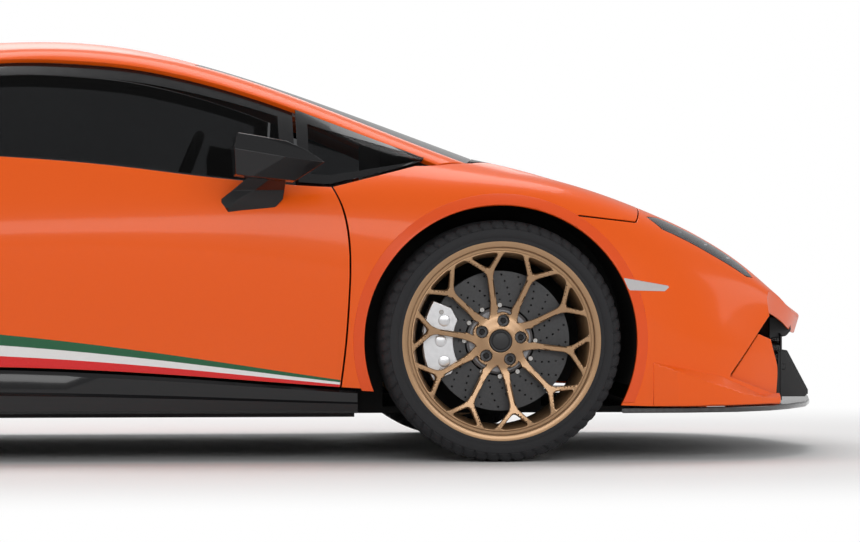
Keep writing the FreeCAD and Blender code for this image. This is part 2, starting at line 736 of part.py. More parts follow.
# Floor tub with tunnel, bulkheads, posts and inner sills
def floor_shape():
    low = up(cell("floor_height"))
    top = low + cell("floor_thickness")
    front = along(cell("front_bulkhead"))
    toe = along(cell("toe_board"))
    rear = along(cell("rear_bulkhead"))
    inner = across(door_plane) - seat_gap
    foot = across(cell("liner_inner_plane")) - seat_gap
    bay = across(cell("rear_bay_plane")) - seat_gap
    tail = along(-2175)
    lids = pushed(shifted(cover_grid(), Vector(0, 0, -cell("lid_skin") - seat_gap)), Vector(0, 0, 200))
    shapes = [block(rear, toe, -inner, inner, low, top)]
    shapes.append(block(toe, along(1680), -foot, foot, low, top))
    shapes.append(block(toe, along(splitter_rear) - seat_gap, -across(splitter_seat), across(splitter_seat), low, top))
    shapes.append(block(rear, front - 200, -across(110), across(110), low, up(300)))
    shapes.append(block(front, front + 16, -foot, foot, low, up(690)))
    bulkhead = block(rear - 20, rear, -across(535), across(535), low, up(1045))
    window = block(rear - 30, rear + 10, -across(400), across(400), up(800), up(1030))
    shapes.append(bulkhead.cut(window))
    shapes.append(block(along(-2005), rear, -bay, bay, low, top))
    for name, side in sides:
        shapes.append(sided_block(rear, toe, across(700), inner, low, up(cell("sill_top")), side))
        shapes.append(sided_block(toe - 12, toe, foot - 20, inner, low, up(690), side))
        shapes.append(sided_block(toe, front + 16, foot - 16, foot, low, up(690), side))
        shapes.append(sided_block(along(740), toe, across(740), inner, low, up(700), side))
        shapes.append(sided_block(rear - 20, along(-225), across(700), inner, low, up(780), side))
        shapes.append(sided_block(rear - 20, rear, across(515), inner, up(480), up(780), side))
        shapes.append(sided_block(front_axle - 150, front_axle + 150, across(440), foot, low, up(500), side))
        shapes.append(sided_block(rear_axle - 160, rear_axle + 160, across(380), bay, low, up(520), side))
        outline = [(rear - 10, low), (along(-2000), low), (along(-2000), up(160)), (tail, up(275)),
                   (tail, up(1120)), (rear - 10, up(1120))]
        wall = side_cutter(outline, side, bay - 6, bay)
        roofed = rear_inside(side, 0)
        roofed.translate(Vector(0, 0, -cell("lid_skin") - seat_gap))
        shapes.append(main_solid(wall.common(roofed).cut(lids)))
    return joined(shapes)


def sills_shape():
    shapes = []
    for name, side in sides:
        stations = [-890, -500, 0, 400, 800]
        top = [(along(x), up(sill_line(x)) - 4) for x in reversed(stations)]
        outline = [(along(stations[0]), up(128)), (along(805), up(128))] + top
        outer = side_cutter(outline, side, across(door_plane), across(885))
        shapes.append(outer)
    return Part.makeCompound(shapes)


# Half-round liners inside the arches, reaching out to the skin that they carry
def liners_shape():
    shapes = []
    wall = cell("liner_wall")
    skin = cell("skin")
    for axle, centre, radius, near, inside in (
            (front_axle, front_tyre_radius, cell("arch_radius") + 6, cell("liner_inner_plane"), front_inside),
            (rear_axle, rear_tyre_radius, cell("rear_arch_radius") + 6, cell("rear_liner_plane"), rear_inside)):
        for name, side in sides:
            tube = wheel_cutter(axle, centre, radius + wall, across(near), across(975), side)
            hollow = wheel_cutter(axle, centre, radius, across(near) + wall, across(1000), side)
            shell = tube.cut(hollow)
            shell = shell.common(block(axle - 500, axle + 500, -1000, 1000, up(205), up(900)))
            shell = shell.common(inside(side, skin))
            window = wheel_cutter(axle, centre, 178, across(near) - 10, across(near) + 20, side)
            shapes.append(main_solid(shell.cut(window)))
    return Part.makeCompound(shapes)


def splitter_shape():
    outline = [(1520, 905), (1700, 895), (1850, 850), (1980, 760), (2080, 650), (2170, 500), (2235, 300), (2253, 0)]
    points = [(along(x), across(y)) for x, y in outline]
    points += [(x, -y) for x, y in reversed(points[:-1])]
    rear_edge = [(along(splitter_rear), -across(splitter_seat)), (along(splitter_rear), across(splitter_seat))]
    wire = Part.makePolygon([Vector(x, y, up(128)) for x, y in points + rear_edge + points[:1]])
    return thick(Part.Face(wire), Vector(0, 0, cell("splitter_thickness")))


def grilles_shape():
    bar = [block(along(2050), along(2070), across(-520), across(520), up(128) + cell("splitter_thickness"), up(375))]
    for name, side in sides:
        bar.append(sided_block(along(1940), along(1955), across(565), across(690), up(128) + cell("splitter_thickness"),
                                  up(330), side))
    return Part.makeCompound(bar)


# Wheels: tyre, rim and disc are turned about their own Y axis, with the outer face towards -Y
def plane_of(body, role):
    return next(item for item in body.Origin.OriginFeatures if item.Role == role)


def new_sketch(body, name, role):
    sketch = body.newObject("Sketcher::SketchObject", name)
    sketch.AttachmentSupport = [(plane_of(body, role), "")]
    sketch.MapMode = "FlatFace"
    return sketch


def add_polygon(sketch, points):
    for i, point in enumerate(points):
        after = points[(i + 1) % len(points)]
        sketch.addGeometry(Part.LineSegment(Vector(point[0], point[1], 0), Vector(after[0], after[1], 0)), False)


def revolved(body, name, points):
    sketch = new_sketch(body, name + "_profile", "YZ_Plane")
    add_polygon(sketch, points)
    turned = body.newObject("PartDesign::Revolution", name)
    turned.Profile = sketch
    turned.ReferenceAxis = (sketch, ["H_Axis"])
    turned.Angle = 360
    return turned


# How far the wheels have rolled where the car is parked
parked_turn = 26


def place_wheel_part(body, axle, plane, centre_name, side):
    turn = FreeCAD.Rotation(Vector(0, 0, 1), 0 if side == right else 180)
    turn = turn.multiply(FreeCAD.Rotation(Vector(0, 1, 0), parked_turn))
    body.Placement = FreeCAD.Placement(Vector(axle, plane * side, 0), turn)
    body.setExpression("Placement.Base.z", "sizes." + centre_name)


flange_width = 9
flange_lip = 2.5


def rim_half(width_name):
    return cell(width_name) / 2 - 7


def wheel_face_seat(width_name):
    return -rim_half(width_name) + cell("hub_inset")


# The tyre's section: narrow at the beads that sit on the rim, wide at the tread
def tyre_profile(width_name, outer):
    half = cell(width_name) / 2
    seat = rim_half(width_name) - flange_width
    bead = cell("bead_radius")
    return [(seat, bead), (half, outer), (-half, outer), (-seat, bead)]


def tyre(name, width_name, radius_name, axle, plane, side):
    body = doc.addObject("PartDesign::Body", name)
    body.Label = name
    profile = tyre_profile(width_name, cell(radius_name))
    revolved(body, name + "_turned", profile)
    place_wheel_part(body, axle, plane, radius_name, side)
    parts.append(body)


# The dish has one flat facet for each of the ten spokes
dish_facets = 10
first_lug = 108
dish_mouth = 240
dish_depth = 24
spoke_back = 39


# Rim: a turned barrel with a dished face, opened by pockets between ten Y-shaped spokes
def barrel_profile(half):
    lip = cell("rim_lip_radius")
    bead = cell("bead_radius")
    wall = cell("rim_wall")
    return [(-half, lip), (-half + flange_lip, lip), (-half + flange_width, bead), (half, bead), (half, bead - wall),
            (-half + 24, bead - wall), (-half, lip - 15)]


def polar(radius, angle):
    return (radius * math.cos(math.radians(angle)), radius * math.sin(math.radians(angle)))


# Moves each edge of a polygon inwards by its own distance
def inset(points, distances):
    count = len(points)
    lines = []
    for i in range(count):
        ax, ay = points[i]
        bx, by = points[(i + 1) % count]
        size = math.hypot(bx - ax, by - ay)
        nx, ny = -(by - ay) / size, (bx - ax) / size
        shift = distances[i]
        lines.append((ax + nx * shift, ay + ny * shift, bx - ax, by - ay))
    result = []
    for i in range(count):
        ax, ay, adx, ady = lines[i - 1]
        bx, by, bdx, bdy = lines[i]
        cross = adx * bdy - ady * bdx
        share = ((bx - ax) * bdy - (by - ay) * bdx) / cross
        result.append((ax + adx * share, ay + ady * share))
    return result


# Spoke centre lines in one fifth of the wheel, as share of the lip radius and angle from the lug
spoke_base = (0.24, 31)
spoke_kink = (0.34, 18)
spoke_node = (0.68, 17.5)
branch_inner = (0.895, 5.9)
branch_outer = (0.895, 33.0)


def window_outlines(middle):
    lip = cell("rim_lip_radius")
    stem = cell("spoke_width") / 2
    branch = cell("branch_width") / 2

    def spot(place, sign=1, offset=0):
        return polar(place[0] * lip, middle + offset + sign * place[1])

    lug_window = inset([spot(spoke_kink, -1), spot(spoke_node, -1),
                        spot(branch_inner, -1), spot(branch_inner), spot(spoke_node), spot(spoke_kink)],
                       [stem, branch, 4, branch, stem, 26])
    fork = inset([spot(spoke_node), spot(branch_inner), spot(branch_outer)], [branch, 4, branch])
    other_fork = inset([spot(spoke_node, -1), spot(branch_outer, -1), spot(branch_inner, -1)], [branch, 4, branch])
    gap_window = inset([spot(spoke_kink), spot(spoke_node), spot(branch_outer),
                        spot(branch_outer, -1, 72), spot(spoke_node, -1, 72), spot(spoke_kink, -1, 72),
                        spot(spoke_base)],
                       [stem, branch, 4, branch, stem, stem, stem])
    return [lug_window, fork, other_fork, gap_window]


def rim(name, width_name, radius_name, axle, plane, side):
    body = doc.addObject("PartDesign::Body", name)
    body.Label = name
    half = rim_half(width_name)
    inset_seat = cell("hub_inset")
    revolved(body, name + "_barrel", barrel_profile(half))
    hub = cell("hub_radius")
    edge = cell("bead_radius") - 0.5
    centre = [(-half + 5, 0), (-half + 5, edge), (-half + spoke_back, edge), (-half + spoke_back, hub),
              (-half + inset_seat, hub), (-half + inset_seat, 0)]
    revolved(body, name + "_centre", centre)
    dish = new_sketch(body, name + "_dish_profile", "YZ_Plane")
    add_polygon(dish, [(-half - 5, 0), (-half - 5, dish_mouth), (-half + 5, dish_mouth), (-half + dish_depth, 88),
                       (-half + dish_depth, 0)])
    doc.recompute()
    hollow = body.newObject("PartDesign::Pocket", name + "_dish")
    hollow.Profile = dish
    hollow.Midplane = True
    hollow.Length = 2 * dish_mouth * math.tan(math.radians(180 / dish_facets))
    doc.recompute()
    around = body.newObject("PartDesign::PolarPattern", name + "_dish_facets")
    around.Originals = [hollow]
    around.Axis = (dish, ["H_Axis"])
    around.Angle = 360
    around.Occurrences = dish_facets
    body.Tip = around
    sketch = new_sketch(body, name + "_windows", "XZ_Plane")
    for outline in window_outlines(first_lug):
        add_polygon(sketch, outline)
    doc.recompute()
    pocket = body.newObject("PartDesign::Pocket", name + "_openings")
    pocket.Profile = sketch
    pocket.Type = 1
    pocket.Midplane = True
    doc.recompute()
    pattern = body.newObject("PartDesign::PolarPattern", name + "_fives")
    pattern.Originals = [pocket]
    pattern.Axis = (sketch, ["N_Axis"])
    pattern.Angle = 360
    pattern.Occurrences = 5
    body.Tip = pattern
    bolts = new_sketch(body, name + "_bolts", "XZ_Plane")
    for i in range(5):
        x, y = polar(cell("lug_circle_radius"), first_lug + 72 * i)
        bolts.addGeometry(Part.Circle(Vector(x, y, 0), Vector(0, 0, 1), cell("lug_hole_radius")), False)
    holes = body.newObject("PartDesign::Pocket", name + "_lug_holes")
    holes.Profile = bolts
    holes.Type = 1
    holes.Midplane = True
    place_wheel_part(body, axle, plane, radius_name, side)
    parts.append(body)


def brake_disc(name, disc_name, radius_name, width_name, axle, plane, side):
    body = doc.addObject("PartDesign::Body", name)
    body.Label = name
    radius = cell(disc_name)
    hat = cell("disc_hat_radius")
    seat = wheel_face_seat(width_name)
    outer_face = seat + 6
    inner_face = outer_face + cell("disc_thickness")
    profile = [(seat, 0), (seat, hat), (outer_face, hat), (outer_face, radius), (inner_face, radius),
               (inner_face, hat - 8), (seat + 10, hat - 8), (seat + 10, 0)]
    revolved(body, name + "_turned", profile)
    place_wheel_part(body, axle, plane, radius_name, side)
    parts.append(body)


# Knuckle, hub and caliper in wheel coordinates with outwards towards -Y
def carrier_solids(width_name, disc_radius, back_angle):
    seat = wheel_face_seat(width_name) + 10 + seat_gap
    outer_face = wheel_face_seat(width_name) + 6
    inner_face = outer_face + cell("disc_thickness")
    tall = cell("upright_height")
    hub = Part.makeCylinder(cell("disc_hat_radius") - 14, inner_face + 20 - seat, Vector(0, seat, 0), Vector(0, 1, 0))
    depth = max(26, 14 - inner_face - 8)
    upright = Part.makeBox(90, depth, tall, Vector(-45, inner_face + 8, -tall / 2))
    solids = [hub, upright]
    inner_radius = cell("disc_hat_radius") + 22
    outer_radius = disc_radius + 24
    start = outer_face - 14
    depth = inner_face + 14 - start
    ring = Part.makeCylinder(outer_radius, depth, Vector(0, start, 0), Vector(0, 1, 0))
    ring = ring.cut(Part.makeCylinder(inner_radius, depth, Vector(0, start, 0), Vector(0, 1, 0)))
    slot = Part.makeCylinder(disc_radius + 3, inner_face - outer_face + 2, Vector(0, outer_face - 1, 0),
                             Vector(0, 1, 0))
    ring = ring.cut(slot)
    reach = outer_radius * 1.5
    spread = 31
    wedge = Part.makePolygon([Vector(0, start - 5, 0),
                              Vector(reach * math.cos(math.radians(back_angle - spread)), start - 5,
                                     reach * math.sin(math.radians(back_angle - spread))),
                              Vector(reach * math.cos(math.radians(back_angle + spread)), start - 5,
                                     reach * math.sin(math.radians(back_angle + spread))),
                              Vector(0, start - 5, 0)])
    sector = thick(Part.Face(wedge), Vector(0, depth + 10, 0))
    caliper = main_solid(ring.common(sector))
    reach_mid = inner_radius + 14
    bracket = Part.makeBox(reach_mid + 10, 12, 60, Vector(0, inner_face + 10, -30))
    bracket.rotate(Vector(0, 0, 0), Vector(0, 1, 0), -back_angle)
    return solids + [bracket, caliper]


def placed_carrier(width_name, disc_name, radius_name, axle, plane, side):
    back_angle = 180
    solids = carrier_solids(width_name, cell(disc_name), back_angle)
    shape = joined(solids)
    if side == left:
        shape = shape.mirror(Vector(0, 0, 0), Vector(0, 1, 0))
    shape.translate(Vector(axle, plane * side, cell(radius_name)))
    return shape


ball_radius = 16
arm_thickness = 18


def arm(axle, plane, low, near, side, spread):
    points = [Vector(axle - ball_radius, plane * side, low), Vector(axle + ball_radius, plane * side, low),
              Vector(axle + spread, near * side, low), Vector(axle - spread, near * side, low)]
    plate = thick(Part.Face(Part.makePolygon(points + points[:1])), Vector(0, 0, arm_thickness))
    ball = Part.makeCylinder(ball_radius, arm_thickness, Vector(axle, plane * side, low), Vector(0, 0, 1))
    return plate.fuse(ball).removeSplitter()


def suspension_shape(radius_name, axle, plane, near):
    shapes = []
    reach = cell("upright_height") / 2 + seat_gap
    for name, side in sides:
        for low in (reach, -reach - arm_thickness):
            shapes.append(arm(axle, plane, cell(radius_name) + low, near, side, 70))
    return Part.makeCompound(shapes)


grip = 16


def steering_wheel_shape():
    radius = cell("steering_wheel_radius")
    section = [Vector(radius + grip * math.cos(math.radians(a)), 0, grip * math.sin(math.radians(a)))
               for a in range(0, 361, 60)]
    ring = Part.Face(Part.makePolygon(section)).revolve(Vector(0, 0, 0), Vector(0, 0, 1), 360)
    hub = Part.makeCylinder(58, 34, Vector(0, 0, -30))
    spokes = [Part.makeBox(radius * 2 - 10, 34, 12, Vector(-radius + 5, -17, -22)),
              Part.makeBox(30, radius - 5, 12, Vector(-15, -radius + 5, -22))]
    column = Part.makeCylinder(cell("column_radius"), 90, Vector(0, 0, -118))
    wheel = joined([ring, hub, column] + spokes)
    return wheel


wheel_sets = [
    ("front", "front_tyre_width", "front_tyre_radius", "front_disc_radius", front_axle, front_plane),
    ("rear", "rear_tyre_width", "rear_tyre_radius", "rear_disc_radius", rear_axle, rear_plane),
]
for end, width_name, radius_name, disc_name, axle, plane in wheel_sets:
    for name, side in sides:
        tyre("tyre_%s_%s" % (end, name), width_name, radius_name, axle, plane, side)
        rim("rim_%s_%s" % (end, name), width_name, radius_name, axle, plane, side)
        brake_disc("brake_disc_%s_%s" % (end, name), disc_name, radius_name, width_name, axle, plane, side)

for name, side in sides:
    feature("front_knuckle_" + name, placed_carrier("front_tyre_width", "front_disc_radius", "front_tyre_radius",
                                                    front_axle, front_plane, side))
    feature("rear_carrier_" + name, placed_carrier("rear_tyre_width", "rear_disc_radius", "rear_tyre_radius",
                                                   rear_axle, rear_plane, side))
feature("front_suspension", suspension_shape("front_tyre_radius", front_axle, front_plane,
                                             across(cell("liner_inner_plane")) - seat_gap))
feature("rear_suspension", suspension_shape("rear_tyre_radius", rear_axle, rear_plane,
                                            across(cell("rear_bay_plane")) - seat_gap))

screen = screen_shape()
bumper = bumper_shape()
tail_panel = rear_bumper_shape()
doors = {side: door_shape(side) for name, side in sides}
fenders = {side: fender_shape(side) for name, side in sides}
quarters = {side: quarter_shape(side) for name, side in sides}
deck_panel = fitted(deck_tail_shape(), [tail_panel] + [quarters[side] for name, side in sides])
roof_panel = fitted(roof_shape(), [screen] + [quarters[side] for name, side in sides])
floor_tub = floor_shape()
for name, side in sides:
    feature("door_" + name, doors[side])
    feature("front_fender_" + name, fenders[side])
    feature("rear_quarter_" + name, quarters[side])
    pane = side_glass((-204, -288), (quarter_glass_rear - 8, quarter_glass_rear - 8), side, 14, -12)
    feature("door_glass_" + name, fitted(pane, [doors[side]]))
    pane = side_glass((quarter_glass_rear, quarter_glass_rear), (985, 992), side, -8, 5)
    feature("quarter_glass_" + name, fitted(pane, [roof_panel, fenders[side]]))
feature("bonnet", bonnet_shape())
feature("front_bumper", bumper)
feature("cowl", fitted(cowl_shape(), [screen, roof_panel]))
feature("windscreen", screen)
feature("roof", roof_panel)
feature("engine_cover", cover_shape())
feature("rear_bumper", tail_panel)
feature("rear_deck", deck_panel)
feature("rear_diffuser", fitted(diffuser_shape(), [tail_panel]))
feature("rear_wing", fitted(wing_shape(), [deck_panel, tail_panel]))
feature("exhaust", exhaust_shape())
feature("floor_pan", floor_tub)
feature("side_sills", sills_shape())
feature("wheel_liners", liners_shape())
feature("front_splitter", splitter_shape())
feature("front_grilles", grilles_shape())


# Cabin
def seats_shape():
    shapes = []
    middle = cell("seat_offset")
    wide = cell("seat_width") / 2
    floor_top = up(cell("floor_height")) + cell("floor_thickness")
    for name, side in sides:
        cushion = sided_block(-160, 330, middle - wide + 40, middle + wide - 40, floor_top + 0.3, floor_top + 130, side)
        back_outline = [(-110, floor_top + 100), (-235, floor_top + 560), (-250, floor_top + 760),
                        (-330, floor_top + 760), (-352, floor_top + 500), (-250, floor_top + 40), (-150, floor_top + 40)]
        back = side_cutter(back_outline, side, middle - wide, middle + wide)
        bolsters = [sided_block(-140, 300, middle + shift - 25, middle + shift + 25, floor_top + 60,
                                floor_top + 190, side) for shift in (-wide + 30, wide - 30)]
        shapes.append(joined([cushion, back] + bolsters))
    return Part.makeCompound(shapes)


def dashboard_shape():
    outline = [(880, 560), (880, 742), (760, 758), (560, 748), (520, 700), (560, 600), (700, 540)]
    top = [(along(x) - 0.3 if x == 880 else along(x), up(z)) for x, z in outline]
    wire = Part.makePolygon([Vector(x, -across(700), z) for x, z in top + top[:1]])
    panel = thick(Part.Face(wire), Vector(0, 2 * across(700), 0))
    console = block(-80, 600, -across(90), across(90), up(300.3), up(420))
    rise = block(540, 640, -across(90), across(90), up(380), up(640))
    shroud = Part.makeCylinder(cell("column_radius") + 8, 170, Vector(0, 0, -118.3 - 170))
    place_steering(shroud)
    whole_dash = joined([panel, console, rise, shroud])
    toe = along(cell("toe_board")) - 12 - seat_gap
    for name, side in sides:
        foot = across(cell("liner_inner_plane")) - 2 * seat_gap
        whole_dash = whole_dash.cut(sided_block(toe, toe + 300, foot - 20, 1000, 0, 1000, side))
    return main_solid(whole_dash)


def place_steering(shape):
    shape.rotate(Vector(0, 0, 0), Vector(0, 1, 0), -90 + cell("steering_column_rake"))
    shape.translate(Vector(along(352), across(365), up(740)))


def steering_wheel_placed():
    wheel = steering_wheel_shape()
    place_steering(wheel)
    return wheel


def engine_shape():
    long = cell("engine_length")
    wide = cell("engine_width") / 2
    floor_top = up(cell("floor_height")) + cell("floor_thickness")
    return block(-480 - long, -480, -wide, wide, floor_top, floor_top + cell("engine_height"))


def mirror_shape(side):
    head = [(462, 815), (480, 762), (600, 758), (700, 790), (706, 850), (640, 886), (520, 890), (468, 870)]
    outline = [(along(x), up(z)) for x, z in head]
    body = side_cutter(outline, side, across(905), cell("mirror_reach"))
    stalk = [(432, 676), (600, 682), (640, 790), (540, 800)]
    arm_body = side_cutter([(along(x), up(z)) for x, z in stalk], side, across(840), across(960))
    arm_body = arm_body.cut(side_cutter([(along(420), up(560)), (along(650), up(560)), (along(650), up(742)),
                                         (along(420), up(742))], side, across(700), across(882)))
    return body.fuse(arm_body).removeSplitter()


def tail_lamps_shape():
    shapes = []
    for name, side in sides:
        shapes.append(sided_block(along(-2215), along(-2195), across(420), across(700), up(745), up(775), side))
    return Part.makeCompound(shapes)


def rear_window_shape():
    rear = along(cell("rear_bulkhead"))
    return block(rear - 12, rear - 7, -across(400), across(400), up(800), up(1030))


def luggage_tub_shape():
    rear = along(cell("front_bulkhead")) + 16
    front = along(1700)
    outer = block(rear, front, -across(430), across(430), up(300), up(900))
    inner = block(rear + 4, front - 4, -across(430) + 4, across(430) - 4, up(300) + 4, up(950))
    tub = outer.cut(inner)
    lid = Vector(0, 0, -cell("lid_skin") - seat_gap)
    cowl_seat = Vector(0, 0, -cowl_thickness - seat_gap)
    hinge = along(cell("cowl_station")) - gap
    under_lid = pushed(shifted(bonnet_grid(), lid), Vector(0, 0, -600))
    under_cowl = pushed(shifted(whole(front_grid(0, 740)), cowl_seat), Vector(0, 0, -600))
    behind = block(rear - 1, hinge, -1000, 1000, 0, 1200)
    return main_solid(tub.common(under_lid).fuse(tub.common(behind).common(under_cowl)).removeSplitter())


feature("seats", seats_shape())
feature("dashboard", dashboard_shape())
feature("steering_wheel", steering_wheel_placed())
feature("engine_block", engine_shape())
feature("headlamps", headlamps_shape())
feature("tail_lamps", tail_lamps_shape())
feature("rear_window", rear_window_shape())
feature("luggage_tub", luggage_tub_shape())
for name, side in sides:
    feature("mirror_" + name, fitted(mirror_shape(side), [doors[side]]))

doc.recompute()
for item in doc.Objects:
    if "Invalid" in item.State or "Error" in item.State:
        raise RuntimeError("failed feature " + item.Name)
for item in parts:
    shape = item.Shape
    if shape.isNull() or not shape.isValid():
        raise RuntimeError("bad shape " + item.Label)
    shape.exportStep("parts/%s.step" % item.Label)
    print(item.Label, len(shape.Solids), round(shape.Volume / 1e6, 2))
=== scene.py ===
import math

import bmesh
import bpy
import numpy as np
from mathutils import Matrix, Vector
from mathutils.geometry import delaunay_2d_cdt


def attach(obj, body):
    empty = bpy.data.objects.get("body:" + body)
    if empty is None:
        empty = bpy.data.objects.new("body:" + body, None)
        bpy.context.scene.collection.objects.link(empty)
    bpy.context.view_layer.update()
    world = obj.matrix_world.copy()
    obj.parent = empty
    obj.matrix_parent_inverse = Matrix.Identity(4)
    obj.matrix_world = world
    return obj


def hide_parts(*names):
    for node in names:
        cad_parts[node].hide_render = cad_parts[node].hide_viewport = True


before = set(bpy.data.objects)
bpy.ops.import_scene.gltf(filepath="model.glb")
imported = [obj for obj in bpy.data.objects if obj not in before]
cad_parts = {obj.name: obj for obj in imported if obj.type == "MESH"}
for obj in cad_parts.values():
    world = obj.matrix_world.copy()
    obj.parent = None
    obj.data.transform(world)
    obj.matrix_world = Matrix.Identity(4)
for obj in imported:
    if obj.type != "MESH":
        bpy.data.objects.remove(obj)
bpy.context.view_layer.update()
print("frame loaded:", len(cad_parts), "nodes")

mm = 0.001
sides = {"right": -1, "left": 1}
scene = bpy.context.scene


def linked(name, data):
    obj = bpy.data.objects.new(name, data)
    scene.collection.objects.link(obj)
    return obj


# Camera, where the photograph was taken from: square to the car, far off, level with the wheel tops
camera = {"place": (-0.095, -14.0, 0.655), "lens": 203, "yaw": 4.77, "pitch": 0.6}
cam = linked("camera", bpy.data.cameras.new("camera"))
cam.data.lens = camera["lens"]
cam.data.clip_end = 200
cam.location = camera["place"]
cam.rotation_euler = (math.radians(90 - camera["pitch"]), 0, math.radians(-camera["yaw"]))
scene.camera = cam


# Materials
def newMaterial(name, **values):
    material = bpy.data.materials.new(name)
    material.use_nodes = True
    shader = material.node_tree.nodes["Principled BSDF"]
    for socket, value in values.items():
        shader.inputs[socket.replace("_", " ")].default_value = value
    return material, shader


def addNode(material, kind, **values):
    node = material.node_tree.nodes.new(kind)
    for key, value in values.items():
        label = key.replace("_", " ")
        if label in node.inputs:
            node.inputs[label].default_value = value
        else:
            setattr(node, key, value)
    return node


def join(material, source, target):
    material.node_tree.links.new(source, target)


# A finish whose height, roughness and colour vary a little with noise on the object's own coordinates
def finish(name, scale, height=0.0, roughness=None, colour=None, detail=2.0, **values):
    material, shader = newMaterial(name, **values)
    where = addNode(material, "ShaderNodeTexCoord")
    noise = addNode(material, "ShaderNodeTexNoise", Scale=scale, Detail=detail)
    join(material, where.outputs["Object"], noise.inputs["Vector"])
    if height:
        bump = addNode(material, "ShaderNodeBump", Strength=1.0, Distance=height)
        join(material, noise.outputs["Fac"], bump.inputs["Height"])
        join(material, bump.outputs["Normal"], shader.inputs["Normal"])
    if roughness:
        spread = addNode(material, "ShaderNodeMapRange", To_Min=roughness[0], To_Max=roughness[1])
        join(material, noise.outputs["Fac"], spread.inputs["Value"])
        join(material, spread.outputs["Result"], shader.inputs["Roughness"])
    if colour:
        mix = addNode(material, "ShaderNodeMix", data_type="RGBA")
        mix.inputs[6].default_value = colour[0] + (1,)
        mix.inputs[7].default_value = colour[1] + (1,)
        join(material, noise.outputs["Fac"], mix.inputs[0])
        join(material, mix.outputs[2], shader.inputs["Base Color"])
    return material


def plainFinish(name, low, high, roughness, metallic=0.0):
    return finish(name, 200, 0.00005, roughness, (low, high), Metallic=metallic)


def carbonWeave():
    weave = {"tow": 420.0, "turn": (0.6, 0.35, 0.785), "dark": (0.008, 0.008, 0.009, 1),
             "light": (0.035, 0.035, 0.038, 1)}
    material, shader = newMaterial("carbonWeave", Roughness=0.3, Coat_Weight=1.0, Coat_Roughness=0.05)
    where = addNode(material, "ShaderNodeTexCoord")
    turned = addNode(material, "ShaderNodeMapping", Rotation=weave["turn"])
    checks = addNode(material, "ShaderNodeTexChecker", Scale=weave["tow"], Color1=weave["dark"],
                     Color2=weave["light"])
    bump = addNode(material, "ShaderNodeBump", Strength=0.4, Distance=0.0002)
    join(material, where.outputs["Object"], turned.inputs["Vector"])
    join(material, turned.outputs["Vector"], checks.inputs["Vector"])
    join(material, checks.outputs["Color"], shader.inputs["Base Color"])
    join(material, checks.outputs["Fac"], bump.inputs["Height"])
    join(material, bump.outputs["Normal"], shader.inputs["Normal"])
    return material


paint = finish("orangePaint", 900, colour=((0.86, 0.100, 0.003), (0.93, 0.125, 0.005)), detail=1.0, Roughness=0.34,
               Coat_Weight=0.28, Coat_Roughness=0.10, Specular_IOR_Level=0.2)
gloss = finish("glossBlack", 40, roughness=(0.12, 0.22), Base_Color=(0.006, 0.006, 0.007, 1), Coat_Weight=0.3,
               Coat_Roughness=0.04, Specular_IOR_Level=0.3)
satin = finish("satinBlack", 1400, 0.00006, (0.38, 0.52), Base_Color=(0.012, 0.012, 0.013, 1))
carbon = carbonWeave()
glass = finish("tintedGlass", 3, colour=((0.15, 0.152, 0.156), (0.17, 0.173, 0.178)), detail=1.0, Roughness=0.0,
               IOR=1.16, Transmission_Weight=1.0)
smoked = finish("smokedLens", 40, colour=((0.26, 0.27, 0.29), (0.32, 0.33, 0.35)), Roughness=0.02,
                Transmission_Weight=0.9)
red = finish("tailRed", 260, 0.0004, (0.08, 0.2), Base_Color=(0.55, 0.008, 0.006, 1), Transmission_Weight=0.35,
             Coat_Weight=1.0)
rubber = finish("tyreRubber", 700, 0.0002, (0.62, 0.85), Base_Color=(0.016, 0.016, 0.018, 1), Specular_IOR_Level=0.4)
bronze = finish("bronzeWheel", 500, 0.00003, (0.30, 0.38), ((0.34, 0.20, 0.105), (0.42, 0.26, 0.14)), Metallic=0.75,
                Coat_Weight=0.35, Coat_Roughness=0.15)
ceramic = finish("ceramicDisc", 140, 0.00008, (0.32, 0.5), ((0.012, 0.012, 0.013), (0.05, 0.051, 0.054)), 6.0,
                 Metallic=0.15, Specular_IOR_Level=0.6)
silver = finish("silverCaliper", 90, 0.0001, (0.26, 0.40), ((0.62, 0.62, 0.63), (0.74, 0.74, 0.75)), Metallic=0.9,
                Coat_Weight=0.3)
cast = finish("castMetal", 320, 0.0003, (0.40, 0.6), ((0.20, 0.20, 0.21), (0.30, 0.30, 0.31)), Metallic=0.85)
steel = finish("steelPipe", 60, 0.0, (0.16, 0.34), ((0.42, 0.41, 0.40), (0.60, 0.58, 0.55)), Metallic=1.0)
hide = finish("cabinHide", 900, 0.0002, (0.65, 0.85), ((0.014, 0.014, 0.016), (0.026, 0.026, 0.029)), 4.0,
              Sheen_Weight=0.35, Sheen_Roughness=0.4)
thread = finish("orangeThread", 1200, 0.0001, colour=((0.75, 0.12, 0.01), (0.85, 0.16, 0.02)), Roughness=0.7)
darkInside = plainFinish("archBlack", (0.004, 0.004, 0.004), (0.009, 0.009, 0.009), (0.7, 0.9))
# Arch lips: the orange body paint made darker, painted shade on the lip rings
shadedLipPaint = plainFinish("shadedLipOrange", (0.80, 0.075, 0.001), (0.84, 0.085, 0.002), (0.3, 0.36))
markerGrey = plainFinish("markerGrey", (0.52, 0.50, 0.50), (0.58, 0.56, 0.56), (0.1, 0.2))
chrome = plainFinish("lampReflector", (0.75, 0.76, 0.78), (0.82, 0.83, 0.85), (0.05, 0.12), metallic=1.0)
whiteLight = plainFinish("lightBar", (0.80, 0.82, 0.84), (0.88, 0.89, 0.90), (0.2, 0.3))
stripeColours = [plainFinish("stripeRed", (0.70, 0.006, 0.008), (0.76, 0.010, 0.010), (0.2, 0.3)),
                 plainFinish("stripeWhite", (0.80, 0.80, 0.79), (0.85, 0.85, 0.84), (0.2, 0.3)),
                 plainFinish("stripeGreen", (0.004, 0.10, 0.035), (0.005, 0.12, 0.042), (0.2, 0.3))]
print("materials ready")


